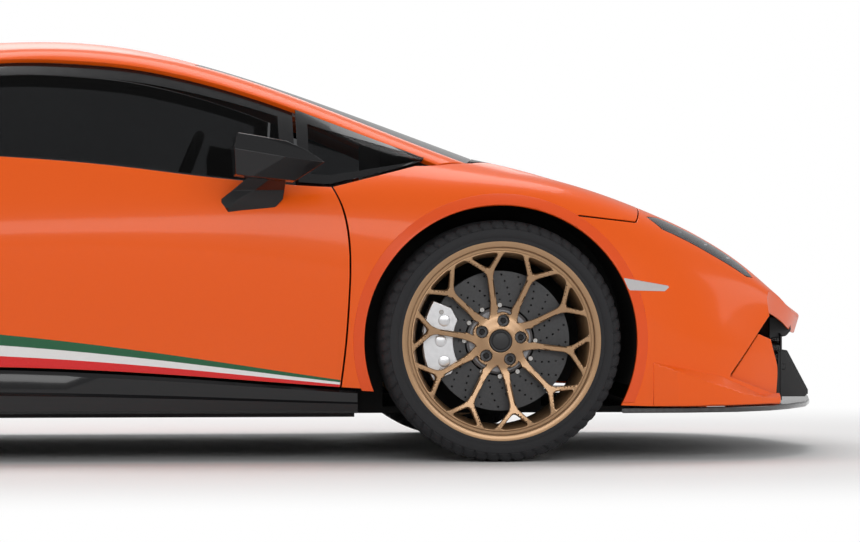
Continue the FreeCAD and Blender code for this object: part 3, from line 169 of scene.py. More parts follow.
# Fair lines: the natural cubic spline that bends least near its points, as a batten would
class Fair:
    def __init__(self, xs, values, easing=0.0):
        order = np.argsort(xs)
        self.xs = np.array(xs, float)[order]
        values = np.array(values, float)[order]
        spans = np.diff(self.xs)
        inner = len(spans) - 1
        spread = np.zeros((inner, inner + 2))
        for i in range(inner):
            spread[i, i:i + 3] = (1 / spans[i], -1 / spans[i] - 1 / spans[i + 1], 1 / spans[i + 1])
        matrix = (easing * spread @ spread.T + np.diag((spans[:-1] + spans[1:]) / 3)
                  + np.diag(spans[1:-1] / 6, 1) + np.diag(spans[1:-1] / 6, -1))
        bends = np.linalg.solve(matrix, spread @ values)
        self.values = values - easing * spread.T @ bends
        self.bends = np.concatenate([[0], bends, [0]])

    def __call__(self, x):
        x = np.asarray(x, float)
        step = np.clip(np.searchsorted(self.xs, x, side="right") - 1, 0, len(self.xs) - 2)
        width = self.xs[step + 1] - self.xs[step]
        a = (self.xs[step + 1] - x) / width
        b = (x - self.xs[step]) / width
        curve = ((a ** 3 - a) * self.bends[step] + (b ** 3 - b) * self.bends[step + 1]) * width ** 2 / 6
        return a * self.values[step] + b * self.values[step + 1] + curve


class BodyLine:
    fairness = 60000.0

    def __init__(self, points):
        xs, ys, zs = zip(*points)
        self.y = Fair(xs, ys, self.fairness)
        self.z = Fair(xs, zs, self.fairness)

    def at(self, x):
        return np.stack([np.asarray(x, float), self.y(x), self.z(x)], -1)


# Front lines, from the middle of the bonnet out and down to the sill
bonnetMiddle = BodyLine([(700, 0, 905), (1000, 0, 868), (1202, 0, 821), (1400, 0, 770), (1600, 0, 702),
    (1800, 0, 617), (1940, 0, 530), (2050, 0, 455), (2140, 0, 385)])
bonnetEdge = BodyLine([(700, 640, 880), (1000, 625, 850), (1202, 600, 809), (1400, 575, 757), (1600, 535, 690),
    (1800, 480, 603), (1915, 440, 522), (1990, 410, 462), (2087, 375, 382)])
crown = BodyLine([(700, 785, 800), (900, 785, 814), (1005, 775, 815), (1173, 745, 806), (1375, 715, 760),
    (1485, 700, 727), (1601, 675, 685), (1773, 640, 606), (1876, 615, 545), (1955, 590, 483), (2030, 565, 413)])
shoulder = BodyLine([(-2200, 760, 800), (-1900, 830, 812), (-1430, 872, 822), (-980, 872, 800), (-480, 868, 742),
    (-80, 873, 722), (520, 877, 712), (772, 882, 716), (1020, 888, 742), (1190, 887, 750), (1358, 877, 733),
    (1498, 862, 689), (1630, 842, 634), (1786, 800, 556), (1894, 762, 494), (1949, 735, 455)])
widest = BodyLine([(-2200, 800, 620), (-1900, 915, 632), (-1430, 962, 640), (-980, 938, 615), (-480, 908, 598),
    (-80, 900, 590), (420, 898, 580), (822, 915, 572), (1190, 957, 580), (1422, 948, 545), (1622, 915, 485),
    (1802, 855, 410), (1914, 785, 350), (1969, 735, 318)])
lower = BodyLine([(-2200, 815, 430), (-1900, 910, 400), (-1430, 955, 385), (-980, 925, 370), (-480, 885, 362),
    (-80, 870, 360), (422, 870, 358), (822, 900, 352), (1190, 948, 350), (1522, 932, 335), (1802, 865, 290),
    (1914, 785, 255), (1992, 705, 232)])
bottom = BodyLine([(-2200, 800, 330), (-1900, 880, 235), (-1430, 930, 200), (-980, 905, 195), (-480, 875, 195),
    (-80, 862, 196), (422, 862, 196), (822, 885, 192), (1190, 930, 175), (1522, 925, 152), (1802, 855, 147),
    (1914, 778, 146.4), (1987, 700, 146.4)])
# Belt of the door, under its glass
belt = BodyLine([(-360, 826, 838), (-90, 835, 823), (181, 841, 799), (348, 846, 778), (501, 850, 762),
    (654, 855, 749), (830, 858, 742)])
# Rear deck lines
deckMiddle = BodyLine([(-2230, 0, 868), (-2000, 0, 893), (-1600, 0, 945), (-1200, 0, 1012), (-800, 0, 1085),
    (-450, 0, 1137), (-250, 0, 1156)])
deckEdge = BodyLine([(-2230, 400, 862), (-2000, 415, 884), (-1600, 430, 928), (-1200, 440, 985), (-800, 450, 1050),
    (-450, 460, 1102), (-250, 465, 1125)])
sail = BodyLine([(-2215, 640, 838), (-2000, 690, 868), (-1600, 715, 892), (-1200, 705, 928), (-800, 645, 990),
    (-450, 585, 1063), (-250, 568, 1090)])
# Greenhouse lines: middle of the screen and roof, upper edge of the rail, top edge of the side glass
roofMiddle = BodyLine([(-450, 0, 1137), (-250, 0, 1156), (-89, 0, 1164.5), (51, 0, 1162), (195, 0, 1147),
    (306, 0, 1124), (410, 0, 1096), (800, 0, 969), (1103, 0, 858), (1202, 0, 821)])
railTop = BodyLine([(-450, 470, 1102), (-250, 478, 1124), (-89, 486, 1133), (100, 498, 1128), (250, 508, 1110),
    (398, 522, 1079), (772, 620, 947), (1041, 705, 838), (1124, 735, 806)])
glassTop = BodyLine([(-450, 578, 1066), (-250, 566, 1092), (-89, 563, 1101), (48, 568, 1095), (187, 580, 1084),
    (351, 600, 1052), (489, 628, 1014), (623, 662, 968), (766, 702, 912), (1005, 780, 815)])


def mirrored(points, side):
    return points * np.array([1, side, 1])


def unit(vectors):
    return vectors / np.maximum(np.linalg.norm(vectors, axis=-1, keepdims=True), 1e-12)


def steps(first, last, size):
    return np.linspace(first, last, max(2, int(round(abs(last - first) / size)) + 1))


# Each pair of neighbours along a closed loop
def around(loop):
    return zip(loop, loop[1:] + loop[:1])


# Surfaces: a function of two places that gives points, in millimetres
def skinOver(lines, knots, starts, ends):
    params = list(knots)
    which = [(i, 1) for i in range(len(lines))]
    if knots[0] == 0 and abs(float(lines[0].y(starts[0]))) < 1:
        params = [-k for k in reversed(knots[1:3])] + params
        which = [(2, -1), (1, -1)] + which
    shares = [Fair(params, row) for row in np.eye(len(params))]

    def surface(u, t):
        total = 0
        for share, (index, turn) in zip(shares, which):
            x = starts[index] + (ends[index] - starts[index]) * u
            total = total + mirrored(share(t)[..., None] * lines[index].at(x), turn)
        return total

    return surface


def normalsOf(surface, u, t, du=1e-4, dt=0.1):
    along = surface(u + du, t) - surface(u - du, t)
    across = surface(u, t + dt) - surface(u, t - dt)
    return unit(np.cross(along, across))


# A surface moved off along its own normals, outwards for a positive height
def lifted(surface, height, turn=1):
    def above(u, t):
        points = surface(u, t)
        rise = height(points) if callable(height) else height
        return points + normalsOf(surface, u, t) * turn * np.reshape(rise, (-1, 1))
    return above


# One side and its mirror image as one surface, for panels that cross the middle
def bothSides(surface):
    def crossing(u, t):
        points = surface(u, np.abs(t))
        points[:, 1] *= np.where(t < 0, -1, 1)
        return points
    return crossing


# Signed distance to a closed outline: positive inside it
def depthIn(points, outline):
    outline = np.array(outline, float)
    after = np.roll(outline, -1, axis=0)
    run = after - outline
    offset = points[:, None, :] - outline[None]
    share = np.clip((offset * run).sum(-1) / np.maximum((run * run).sum(-1), 1e-9), 0, 1)
    distance = np.linalg.norm(offset - share[..., None] * run, axis=-1).min(axis=1)
    passes = (outline[:, 1] > points[:, 1:]) != (after[:, 1] > points[:, 1:])
    meets = outline[:, 0] + offset[..., 1] * run[:, 0] / np.where(run[:, 1] == 0, 1e-9, run[:, 1])
    inside = (passes & (points[:, :1] < meets)).sum(1) % 2 == 1
    return np.where(inside, distance, -distance)


def sideCut(outline, keep=-1):
    return lambda p: keep * depthIn(p[:, (0, 2)], outline)


def planCut(outline, keep=-1, grow=0.0):
    return lambda p: keep * (depthIn(np.column_stack([p[:, 0], np.abs(p[:, 1])]), outline) + grow)


def circleCut(centre, radius):
    return lambda p: np.hypot(p[:, 0] - centre[0], p[:, 2] - centre[1]) - radius


# A sheet is a fine grid on a surface, clipped by one cut after the other, its edge exactly on each cut
def trimmed(surface, us, ts, cuts):
    params = np.stack(np.meshgrid(us, ts, indexing="ij"), -1).reshape(-1, 2)
    columns = len(ts)
    faces = [[i * columns + j, (i + 1) * columns + j, (i + 1) * columns + j + 1, i * columns + j + 1]
             for i in range(len(us) - 1) for j in range(columns - 1)]
    for cut in cuts:
        values = cut(surface(*params.T))
        values = np.where(np.abs(values) < 1e-6, 1e-6, values)
        inside = (values > 0).tolist()
        crossings = {}
        kept = []
        for face in faces:
            clipped = []
            for a, b in around(face):
                if inside[a]:
                    clipped.append(a)
                if inside[a] != inside[b]:
                    clipped.append(len(params) + crossings.setdefault((min(a, b), max(a, b)), len(crossings)))
            if clipped:
                kept.append(clipped)
        faces = kept
        if not crossings:
            continue
        ends = np.array(list(crossings)).T
        first, second = params[ends]
        low, high = values[ends]
        for closer in range(4):
            share = (low / (low - high))[:, None]
            middle = first + (second - first) * np.clip(share, 0.02, 0.98)
            value = cut(surface(*middle.T))
            same = (value > 0) == (low > 0)
            first = np.where(same[:, None], middle, first)
            low = np.where(same, value, low)
            second = np.where(same[:, None], second, middle)
            high = np.where(same, high, value)
        share = (low / (low - high + 1e-12))[:, None]
        params = np.concatenate([params, first + (second - first) * np.clip(share, 0, 1)])
    return params, faces


# Merge the corners of slivers and drop what is left over
def cleaned(points, faces, near):
    boxes = {}
    merged = np.arange(len(points))
    beside = [(x, y, z) for x in (-1, 0, 1) for y in (-1, 0, 1) for z in (-1, 0, 1)]
    for i, box in enumerate(map(tuple, np.floor(points / near).astype(int).tolist())):
        close = [j for x, y, z in beside for j in boxes.get((box[0] + x, box[1] + y, box[2] + z), ())
                 if np.abs(points[i] - points[j]).max() < near]
        if close:
            merged[i] = close[-1]
        else:
            boxes.setdefault(box, []).append(i)
    result = []
    for face in faces:
        loop = [a for a, b in around([merged[i] for i in face]) if a != b]
        if len(set(loop)) == len(loop) and len(loop) > 2:
            result.append(loop)
    used = sorted({i for face in result for i in face})
    place = {old: new for new, old in enumerate(used)}
    return np.array(used), [[place[i] for i in face] for face in result]


def newMesh(name, points, faces, material, normals=None):
    mesh = bpy.data.meshes.new(name)
    mesh.from_pydata((np.asarray(points) * mm).tolist(), [], [list(map(int, face)) for face in faces])
    mesh.polygons.foreach_set("use_smooth", [True] * len(mesh.polygons))
    if normals is not None:
        mesh.normals_split_custom_set(normals)
    mesh.update()
    mesh.materials.append(material)
    return linked(name, mesh)


# A closed shell under a trimmed sheet: rounded along its edge, with a wall behind it. At a corner of the edge the
# rounding reaches further in, and not at all on the tip of a needle
edgeRules = {"needle": 0.3, "corner": 1.6, "bend": 0.293}


def shell(name, surface, us, ts, cuts, material, wall=4.0, rounding=1.0, side=1, flip=False, near=0.35):
    params, faces = trimmed(surface, steps(*us), steps(*ts), cuts)
    points = surface(*params.T)
    used, faces = cleaned(points, faces, near)
    params = params[used]
    points = mirrored(points[used], side)
    normals = mirrored(normalsOf(surface, *params.T, *(1e-4 * np.ptp(params, axis=0))), side)
    if flip:
        normals = -normals
    if flip != (side < 0):
        faces = [face[::-1] for face in faces]
    runs = dict.fromkeys(run for face in faces for run in around(face))
    edges = [(a, b) for a, b in runs if (b, a) not in runs]
    ends = np.array(edges).T
    inward = np.zeros_like(points)
    for corners in ends:
        np.add.at(inward, corners, unit(np.cross(normals[corners], points[ends[1]] - points[ends[0]])))
    rim = np.unique(ends)
    length = np.linalg.norm(inward[rim], axis=1, keepdims=True)
    reach = np.clip(2 / np.maximum(length, 1e-9), 1, edgeRules["corner"])
    inward = np.where(length > edgeRules["needle"], unit(inward[rim]) * reach, 0)
    edge, down = points[rim], normals[rim]
    outer = points.copy()
    outer[rim] = edge + inward * rounding
    rings = [edge + (inward - down) * rounding * edgeRules["bend"], edge - down * rounding, edge - down * wall]
    flat = -unit(inward)
    slant = unit(down + flat)
    starts = [len(points) + k * len(rim) for k in range(4)]
    loops = list(faces)
    shading = [normals[i] for face in faces for i in face]
    for (a, b), (pa, pb) in zip(edges, np.searchsorted(rim, ends).T):
        rows = [(a, b, normals[a], normals[b])]
        rows += [(first + pa, first + pb, tone[pa], tone[pb]) for first, tone in zip(starts, (slant, flat, flat))]
        for (i, j, ni, nj), (k, m, nk, nm) in zip(rows, rows[1:]):
            loops.append([j, i, k, m])
            shading += (nj, ni, nk, nm)
        loops.append([starts[2] + pb, starts[2] + pa, starts[3] + a, starts[3] + b])
        shading += (-normals[b], -normals[a], -normals[a], -normals[b])
    loops += [[starts[3] + i for i in reversed(face)] for face in faces]
    shading += [-normals[i] for face in faces for i in reversed(face)]
    return newMesh(name, np.concatenate([outer, *rings, points - normals * wall]), loops, material,
                   [tuple(n) for n in shading])


# Body skins
gap = 5.0
frontSkin = skinOver([bonnetMiddle, bonnetEdge, crown, shoulder, widest, lower, bottom],
                     [0, 560, 740, 900, 1080, 1300, 1480], [700] * 7, [2140, 2087, 2030, 1949, 1969, 1992, 1987])
rearSkin = skinOver([deckMiddle, deckEdge, sail, shoulder, widest, lower, bottom],
                    [0, 450, 620, 830, 1010, 1240, 1420], [-2230, -2230, -2212] + [-2190] * 4, [-205] * 7)
doorSkin = skinOver([belt, shoulder, widest, lower, bottom], [0, 90, 250, 470, 640], [-340] * 5, [830] * 5)
frontBoth, rearBoth = bothSides(frontSkin), bothSides(rearSkin)

doorFront = Fair([195, 310, 429, 552, 641, 709, 760, 1000], [756, 770, 778, 781, 773, 754, 728, 640])
doorRear = Fair([195, 255, 350, 500, 700, 830, 1000], [-205, -215, -240, -258, -240, -215, -180])
sillLine = Fair([-700, -300, -78, 400, 822, 1000], [262, 256, 251, 224, 193, 183])
bumperJoint = [(1300, 640), (1404, 668), (1565, 650), (1590, 700), (1592, 900)]
lampPlan = [(1600, 815), (1640, 838), (1786, 797), (1884, 763), (1906, 738), (1880, 695), (1760, 700), (1640, 752)]
intakeSide = [(-262, 700), (-560, 640), (-640, 520), (-560, 330), (-300, 290), (-262, 330)]
frontArch = {"axle": (1190, 327.5), "radius": 370}
rearArch = {"axle": (-1430, 345.5), "radius": 388}


def withMirror(half):
    return half + [(x, -y) for x, y in reversed(half)]


def bonnetHalf(grow):
    edge = [(x, float(bonnetEdge.y(x)) + grow) for x in np.linspace(1202, 1680, 12)]
    return withMirror([(1202 - grow, edge[0][1])] + edge[1:] + [(1760 + grow, 440), (1760 + grow, 220)])


def coverHalf(grow):
    half = [(x, float(deckEdge.y(x)) - 14 + grow) for x in np.linspace(-352, -1960, 14)]
    half[0] = (half[0][0] + grow, half[0][1])
    half[-1] = (half[-1][0] - grow, half[-1][1])
    return withMirror(half)


# The same run of points, moved aside
def beside(line, offset):
    line = np.array(line, float)
    run = unit(np.gradient(line, axis=0))
    return [tuple(p) for p in line + np.stack([-run[:, 1], run[:, 0]], 1) * offset]


def archCut(arch, grow=0.0):
    return circleCut(arch["axle"], arch["radius"] + grow)


def doorCuts(grow):
    return [lambda p: doorFront(p[:, 2]) - gap / 2 - grow - p[:, 0],
            lambda p: p[:, 0] - doorRear(p[:, 2]) - gap / 2 - grow]


def fenderPanel(name, side):
    front = beside(bumperJoint, 2.5) + [(500, 900), (500, 50), (1250, 50), (1250, 560)]
    inner = [(600, -5), (600, 812), (990, 804), (1032, 796), (1126, 753), (1207, 642), (1207, -5)]
    glassBase = [(600, 742), (735, 745), (1005, 813), (1110, 815), (1110, 1000), (600, 1000)]
    foot = [(600, 50), (1100, 50), (1100, 178), (822, 198), (600, 212)]
    cuts = [sideCut(front, 1), lambda p: p[:, 0] - doorFront(p[:, 2]) - gap / 2, archCut(frontArch),
            planCut(bonnetHalf(gap / 2)), planCut(inner), sideCut(glassBase), sideCut(foot)]
    return shell("fender_" + name, frontSkin, (0.02, 0.72, 0.007), (575, 1480, 11), cuts, paint, wall=3.5, side=side)


def quarterPanel(name, side):
    above = [(-213, 846), (-300, 1112), (-300, 1300), (-100, 1300), (-100, 835), (-190, 835)]
    cuts = [lambda p: doorRear(p[:, 2]) - gap / 2 - p[:, 0], archCut(rearArch), sideCut(intakeSide),
            lambda p: p[:, 0] + 1985, lambda p: np.maximum(p[:, 2] - 265, -900 - p[:, 0]), sideCut(above),
            planCut(coverHalf(gap / 2))]
    return shell("quarter_" + name, rearSkin, (0, 1, 0.0065), (425, 1420, 11), cuts, paint, wall=3.5, side=side)


def doorPanel(name, side):
    cuts = doorCuts(0) + [lambda p: p[:, 2] - sillLine(p[:, 0]) - gap]
    return shell("door_" + name, doorSkin, (0, 1, 0.011), (0, 640, 11), cuts, paint, wall=22, side=side)


def bumperPanel():
    rear = beside(bumperJoint, -2.5) + [(2400, 900), (2400, 50), (1300, 50)]
    mouth = [(1824, 228), (1950, 392), (2040, 400), (2300, 300), (2300, 100), (1994, 100), (1990, 168)]
    cuts = [sideCut(rear, 1), archCut(frontArch), planCut(bonnetHalf(gap / 2 + 1.5)), planCut(lampPlan, grow=1.0),
            sideCut(mouth)]
    return shell("bumper", frontBoth, (0.3, 1, 0.0062), (-1480, 1480, 11), cuts, paint, wall=3.5, rounding=1.2)


def bonnetPanel():
    cuts = [planCut(bonnetHalf(-gap / 2), 1)]
    return shell("bonnetPanel", frontBoth, (0.25, 0.8, 0.008), (-700, 700, 14), cuts, paint)


def coverPanel():
    slots = [(-560 - 150 * i, 330 - 6 * i) for i in range(6)]
    cuts = [planCut(coverHalf(-gap / 2), 1)]
    cuts += [planCut([(x, -y), (x + 34, -y), (x + 34, y), (x, y)]) for x, y in slots]
    return shell("coverPanel", rearBoth, (0.08, 0.96, 0.0065), (-500, 500, 12), cuts, paint)


def glassSurface(middleSpan, edgeSpan):
    def surface(u, t):
        middleX = middleSpan[0] + (middleSpan[1] - middleSpan[0]) * u
        edgeX = edgeSpan[0] + (edgeSpan[1] - edgeSpan[0]) * u
        edge = railTop.at(edgeX)
        bow = t * t
        middleZ = roofMiddle.z(middleX)
        return np.stack([middleX + (edgeX - middleX) * bow, edge[:, 1] * t,
                         middleZ + (edge[:, 2] - middleZ) * bow], -1)
    return surface


rail = {"rear": -345, "length": 1463, "lean": 90, "bulge": 26}


def railSurface(u, t):
    x = rail["rear"] + rail["length"] * u
    high = railTop.at(x)
    low = glassTop.at(x - rail["lean"] * u)
    bulge = rail["bulge"] * t * (1 - t)
    return high + (low - high) * t[:, None] + np.stack([0 * t, bulge, bulge], -1)


# Side glass stands on the door's belt as far as the mirror, and ahead of it on the slanting edge of the fender
slant = {"start": 740, "length": 265, "foot": (846, 748), "tip": (784, 812)}
sideGlass = {"lowInset": 12, "topInset": 8, "least": 2, "bulge": 40, "bow": 0.3}


def sideSurface(rearEnd, frontEnd, drop, rise):
    def surface(u, t):
        lowX, topX = (a + (b - a) * u for a, b in zip(rearEnd, frontEnd))
        share = np.clip((lowX - slant["start"]) / slant["length"], 0, 1)
        aheadY, aheadZ = (a + (b - a) * share for a, b in zip(slant["foot"], slant["tip"]))
        onBelt, beltX = lowX < slant["start"], np.minimum(lowX, slant["start"])
        low = np.stack([lowX, np.where(onBelt, belt.y(beltX) - sideGlass["lowInset"], aheadY),
                        np.where(onBelt, belt.z(beltX), aheadZ) - drop], -1)
        topZ = np.maximum(glassTop.z(topX) + rise, low[:, 2] + sideGlass["least"])
        top = np.stack([topX, glassTop.y(topX) - sideGlass["topInset"], topZ], -1)
        bulge = sideGlass["bulge"] * t * (1 - t)
        return low + (top - low) * t[:, None] + np.stack([0 * t, bulge, bulge * sideGlass["bow"]], -1)
    return surface


# Makers of plain bodies
def settle(obj):
    mesh = bpy.data.meshes.new_from_object(obj.evaluated_get(bpy.context.evaluated_depsgraph_get()))
    obj.modifiers.clear()
    old, obj.data = obj.data, mesh
    mesh.name = obj.name
    bpy.data.meshes.remove(old)
    return obj


def softened(obj, width, angle=30):
    bevel = obj.modifiers.new("edges", "BEVEL")
    bevel.width = width * mm
    bevel.segments = 2
    bevel.limit_method = "ANGLE"
    bevel.angle_limit = math.radians(angle)
    bevel.harden_normals = True
    return settle(obj)


def reworked(obj, job):
    bm = bmesh.new()
    bm.from_mesh(obj.data)
    job(bm)
    bm.to_mesh(obj.data)
    bm.free()
    return obj


# Neighbouring facets of one plane become one face again
def meltFlat(bm):
    bmesh.ops.dissolve_limit(bm, angle_limit=0.02, verts=bm.verts, edges=bm.edges)
    for face in bm.faces:
        face.smooth = True


def closeUp(bm):
    bmesh.ops.remove_doubles(bm, verts=bm.verts, dist=1e-6)
    bmesh.ops.recalc_face_normals(bm, faces=bm.faces)


def outward(obj, smooth=40):
    reworked(obj, closeUp).data.set_sharp_from_angle(angle=math.radians(smooth))
    return obj


# A flat plate with holes, drawn in two directions and thick in the third (0 along, 1 across, 2 up)
def plate(name, outline, near, far, material, axis=1, holes=(), soft=0.0):
    loops = [list(outline)] + [list(hole) for hole in holes]
    edges = []
    for loop in loops:
        first = len(edges)
        edges += [(first + i, first + (i + 1) % len(loop)) for i in range(len(loop))]
    filled = delaunay_2d_cdt([Vector(p) for loop in loops for p in loop], edges, [], 0, 1e-4)
    flat = np.array([tuple(p) for p in filled[0]])
    triangles = [list(face) for face in filled[2]]
    middles = flat[np.array(triangles)].mean(axis=1)
    keep = depthIn(middles, outline) > 0
    for hole in holes:
        keep &= depthIn(middles, hole) < 0
    turn = -1 if (far > near) == (axis == 1) else 1
    triangles = [face[::turn] for face, good in zip(triangles, keep) if good]
    order = {0: (2, 0, 1), 1: (0, 2, 1), 2: (0, 1, 2)}[axis]
    points = np.concatenate([np.column_stack([flat, np.full(len(flat), level)])[:, order] for level in (near, far)])
    total = len(flat)
    runs = dict.fromkeys(run for face in triangles for run in around(face))
    faces = [[total + i for i in face] for face in triangles] + [face[::-1] for face in triangles]
    faces += [[b + total, a + total, a, b] for a, b in runs if (b, a) not in runs]
    obj = newMesh(name, points, faces, material)
    obj.data.polygons.foreach_set("use_smooth", [False] * len(obj.data.polygons))
    return softened(reworked(obj, meltFlat), soft) if soft else obj


# A skin over rings of points, the last ring joined to the first where it's closed, else with both ends filled
def ringed(name, rings, material, smooth=40, closed=False):
    total, count = rings.shape[:2]
    faces = [[i * count + j, i * count + (j + 1) % count, (i + 1) % total * count + (j + 1) % count,
              (i + 1) % total * count + j] for i in range(total if closed else total - 1) for j in range(count)]
    if not closed:
        faces += [list(range(count))[::-1], [(total - 1) * count + j for j in range(count)]]
    return outward(newMesh(name, rings.reshape(-1, 3), faces, material), smooth)


# A closed profile of radius and height, turned about an axis through the centre
def turned(name, profile, material, centre=(0, 0, 0), count=96, axis=1, smooth=40, wave=None):
    profile = np.array(profile, float)
    angles = np.linspace(0, 2 * math.pi, count, endpoint=False)[:, None]
    radius, height = (np.repeat(profile[None, :, k], count, 0) for k in (0, 1))
    if wave:
        radius, height = wave(angles, radius, height)
    a, b = radius * np.cos(angles), radius * np.sin(angles)
    layout = {0: (height, a, b), 1: (a, height, b), 2: (a, b, height)}[axis]
    return ringed(name, np.stack(layout, -1) + np.array(centre), material, smooth, closed=True)


def disc(radius, count, centre=(0, 0), start=0.0):
    angles = [start + 2 * math.pi * i / count for i in range(count)]
    return [(centre[0] + radius * math.cos(angle), centre[1] + radius * math.sin(angle)) for angle in angles]


# A box between two corners, with softened edges
def block(name, low, high, material, soft):
    points = [(x, y, z) for x in (low[0], high[0]) for y in (low[1], high[1]) for z in (low[2], high[2])]
    faces = [(0, 1, 3, 2), (4, 6, 7, 5), (0, 4, 5, 1), (2, 3, 7, 6), (0, 2, 6, 4), (1, 5, 7, 3)]
    obj = outward(newMesh(name, points, faces, material))
    return softened(obj, soft) if soft else obj


# A round bar along a run of points
def tube(name, path, radius, material, count, closed=False):
    path = np.array(path, float)
    run = unit(np.roll(path, -1, 0) - np.roll(path, 1, 0)) if closed else unit(np.gradient(path, axis=0))
    aside = unit(np.cross(run, np.array([0.0, 0.0, 1.0]) + run[:, ::-1] * 0.01))[:, None]
    above = np.cross(aside[:, 0], run)[:, None]
    angles = np.linspace(0, 2 * math.pi, count, endpoint=False)[:, None]
    return ringed(name, path[:, None] + radius * (aside * np.cos(angles) + above * np.sin(angles)), material,
                  closed=closed)


def merged(name, objs):
    first = objs[0]
    with bpy.context.temp_override(active_object=first, object=first, selected_objects=objs,
                                   selected_editable_objects=objs):
        bpy.ops.object.join()
    first.name = first.data.name = name
    return first


def mirroredCopy(obj, name):
    copy = linked(name, obj.data.copy())
    copy.data.name = name
    copy.data.transform(Matrix.Diagonal((1, -1, 1, 1)))
    copy.data.flip_normals()
    return copy


def movedTo(obj, offset):
    obj.data.transform(Matrix.Translation(Vector(offset) * mm))
    return obj


# Geometry Nodes: copies of a piece, each shifted and turned by one step more than the last
def repeater():
    tree = bpy.data.node_groups.new("repeated", "GeometryNodeTree")
    inputs = {"Piece": "Geometry", "Count": "Int", "Shift": "Vector", "Turn": "Vector", "Finish": "Material"}
    for label, kind in inputs.items():
        tree.interface.new_socket(label, in_out="INPUT", socket_type="NodeSocket" + kind)
    tree.interface.new_socket("Copies", in_out="OUTPUT", socket_type="NodeSocketGeometry")
    kinds = ("NodeGroupInput", "NodeGroupOutput", "GeometryNodeMeshLine", "GeometryNodeInputIndex",
             "ShaderNodeVectorMath", "GeometryNodeInstanceOnPoints", "GeometryNodeRealizeInstances",
             "GeometryNodeSetMaterial")
    entry, leave, line, index, scale, place, real, coat = (tree.nodes.new(kind) for kind in kinds)
    scale.operation = "SCALE"
    for source, output, target, socket in (
            (entry, "Count", line, "Count"), (entry, "Shift", line, "Offset"), (entry, "Turn", scale, 0),
            (index, 0, scale, "Scale"), (line, "Mesh", place, "Points"), (entry, "Piece", place, "Instance"),
            (scale, 0, place, "Rotation"), (place, "Instances", real, "Geometry"),
            (real, "Geometry", coat, "Geometry"), (entry, "Finish", coat, "Material"),
            (coat, "Geometry", leave, "Copies")):
        tree.links.new(source.outputs[output], target.inputs[socket])
    return tree


repeatTree = repeater()


def repeated(obj, count, shift=(0, 0, 0), turn=(0, 0, 0)):
    modifier = obj.modifiers.new("repeated", "NODES")
    modifier.node_group = repeatTree
    values = {"Count": count, "Shift": tuple(v * mm for v in shift), "Turn": turn, "Finish": obj.data.materials[0]}
    for item in repeatTree.interface.items_tree:
        if item.name in values:
            modifier[item.identifier] = values[item.name]
    return settle(obj)


# Puts a finished piece on its body, in place of the solids it stands for
def show(obj, body, *stands, slot=None):
    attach(obj, body)
    if stands:
        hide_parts(*stands)
    return obj


def bothOf(maker, label, body, *stands, slot=None):
    for name, side in sides.items():
        piece = show(maker(side), body.replace("*", name), *[node.replace("*", name) for node in stands], slot=slot)
        piece.name = label + name


# Body panels in place
for name, side in sides.items():
    show(fenderPanel(name, side), "body", "front_fender_" + name, slot="body_paint")
    show(quarterPanel(name, side), "body", "rear_quarter_" + name, slot="body_paint")
    show(doorPanel(name, side), "door_" + name, "door_" + name, slot="body_paint")
show(bumperPanel(), "body", "front_bumper", slot="body_paint")
show(bonnetPanel(), "bonnet", "bonnet", slot="body_paint")
show(coverPanel(), "engine_cover", "engine_cover", slot="body_paint")
print("body panels made")

screenSurface = glassSurface((409, 1172), (376, 1112))
topSurface = glassSurface((-345, 405), (-345, 372))
show(shell("screen", screenSurface, (0, 1, 0.02), (-1, 1, 0.03), [], glass, wall=5), "body", "windscreen",
     slot="window_glass")
roofParts = [shell("roofTop", topSurface, (0, 1, 0.02), (-1, 1, 0.03), [], paint, wall=20, rounding=2)]
roofParts += [shell("rail", railSurface, (0, 1, 0.008), (0, 1, 0.12), [], paint, wall=16, rounding=2.5, side=side)
              for side in (1, -1)]
show(merged("roofPanel", roofParts), "body", "roof", slot="body_paint")
doorPane = sideSurface((-204, -288), (637, 637), 14, -12)
quarterPane = sideSurface((645, 645), (985, 992), -8, 5)


def pane(label, surface, step, name):
    return shell(label + name, surface, (0, 1, step), (0, 1, 0.07), [], glass, wall=5, side=sides[name], flip=True)


for name in sides:
    show(pane("sideGlass_", doorPane, 0.02, name), "door_" + name, "door_glass_" + name, slot="window_glass")
    show(pane("frontGlass_", quarterPane, 0.03, name), "body", "quarter_glass_" + name, slot="window_glass")
print("glass made")


# Wheels, made about the axle with the outer face towards +Y, then moved out to their places
wheelSizes = {"front": {"axle": (1190, 822, 327.5), "tyre": 327.5, "half": 122.5, "disc": 190},
              "rear": {"axle": (-1430, 797, 345.5), "tyre": 345.5, "half": 152.5, "disc": 178}}
spokes = {"lugs": [82, 154, 226, 298, 370], "circle": 56, "hole": 15, "boss": 60, "ring": 240, "blade": 8.2,
          "branch": 5.8, "collar": 23, "blend": 0.30, "cell": 3.4, "turn": math.radians(360 / 260)}


def ray(radius, degrees):
    return (radius * math.cos(math.radians(degrees)), radius * math.sin(math.radians(degrees)))


# Two spokes to a lug, each with a foot beside the hub, a kink, a node and two branches to the ring
def strokes(lug):
    blade, branch = spokes["blade"], spokes["branch"]
    lines = []
    for turn in (-1, 1):
        foot, kink, node = (ray(radius, lug + turn * angle) for radius, angle in ((58, 31), (91, 18.5), (187, 17.5)))
        lines += [(foot, kink, 9.0, blade), (kink, node, blade, blade - 1.0)]
        lines += [(node, ray(256, lug + turn * end), branch + 0.8, branch) for end in (5.9, 33.0)]
    return lines


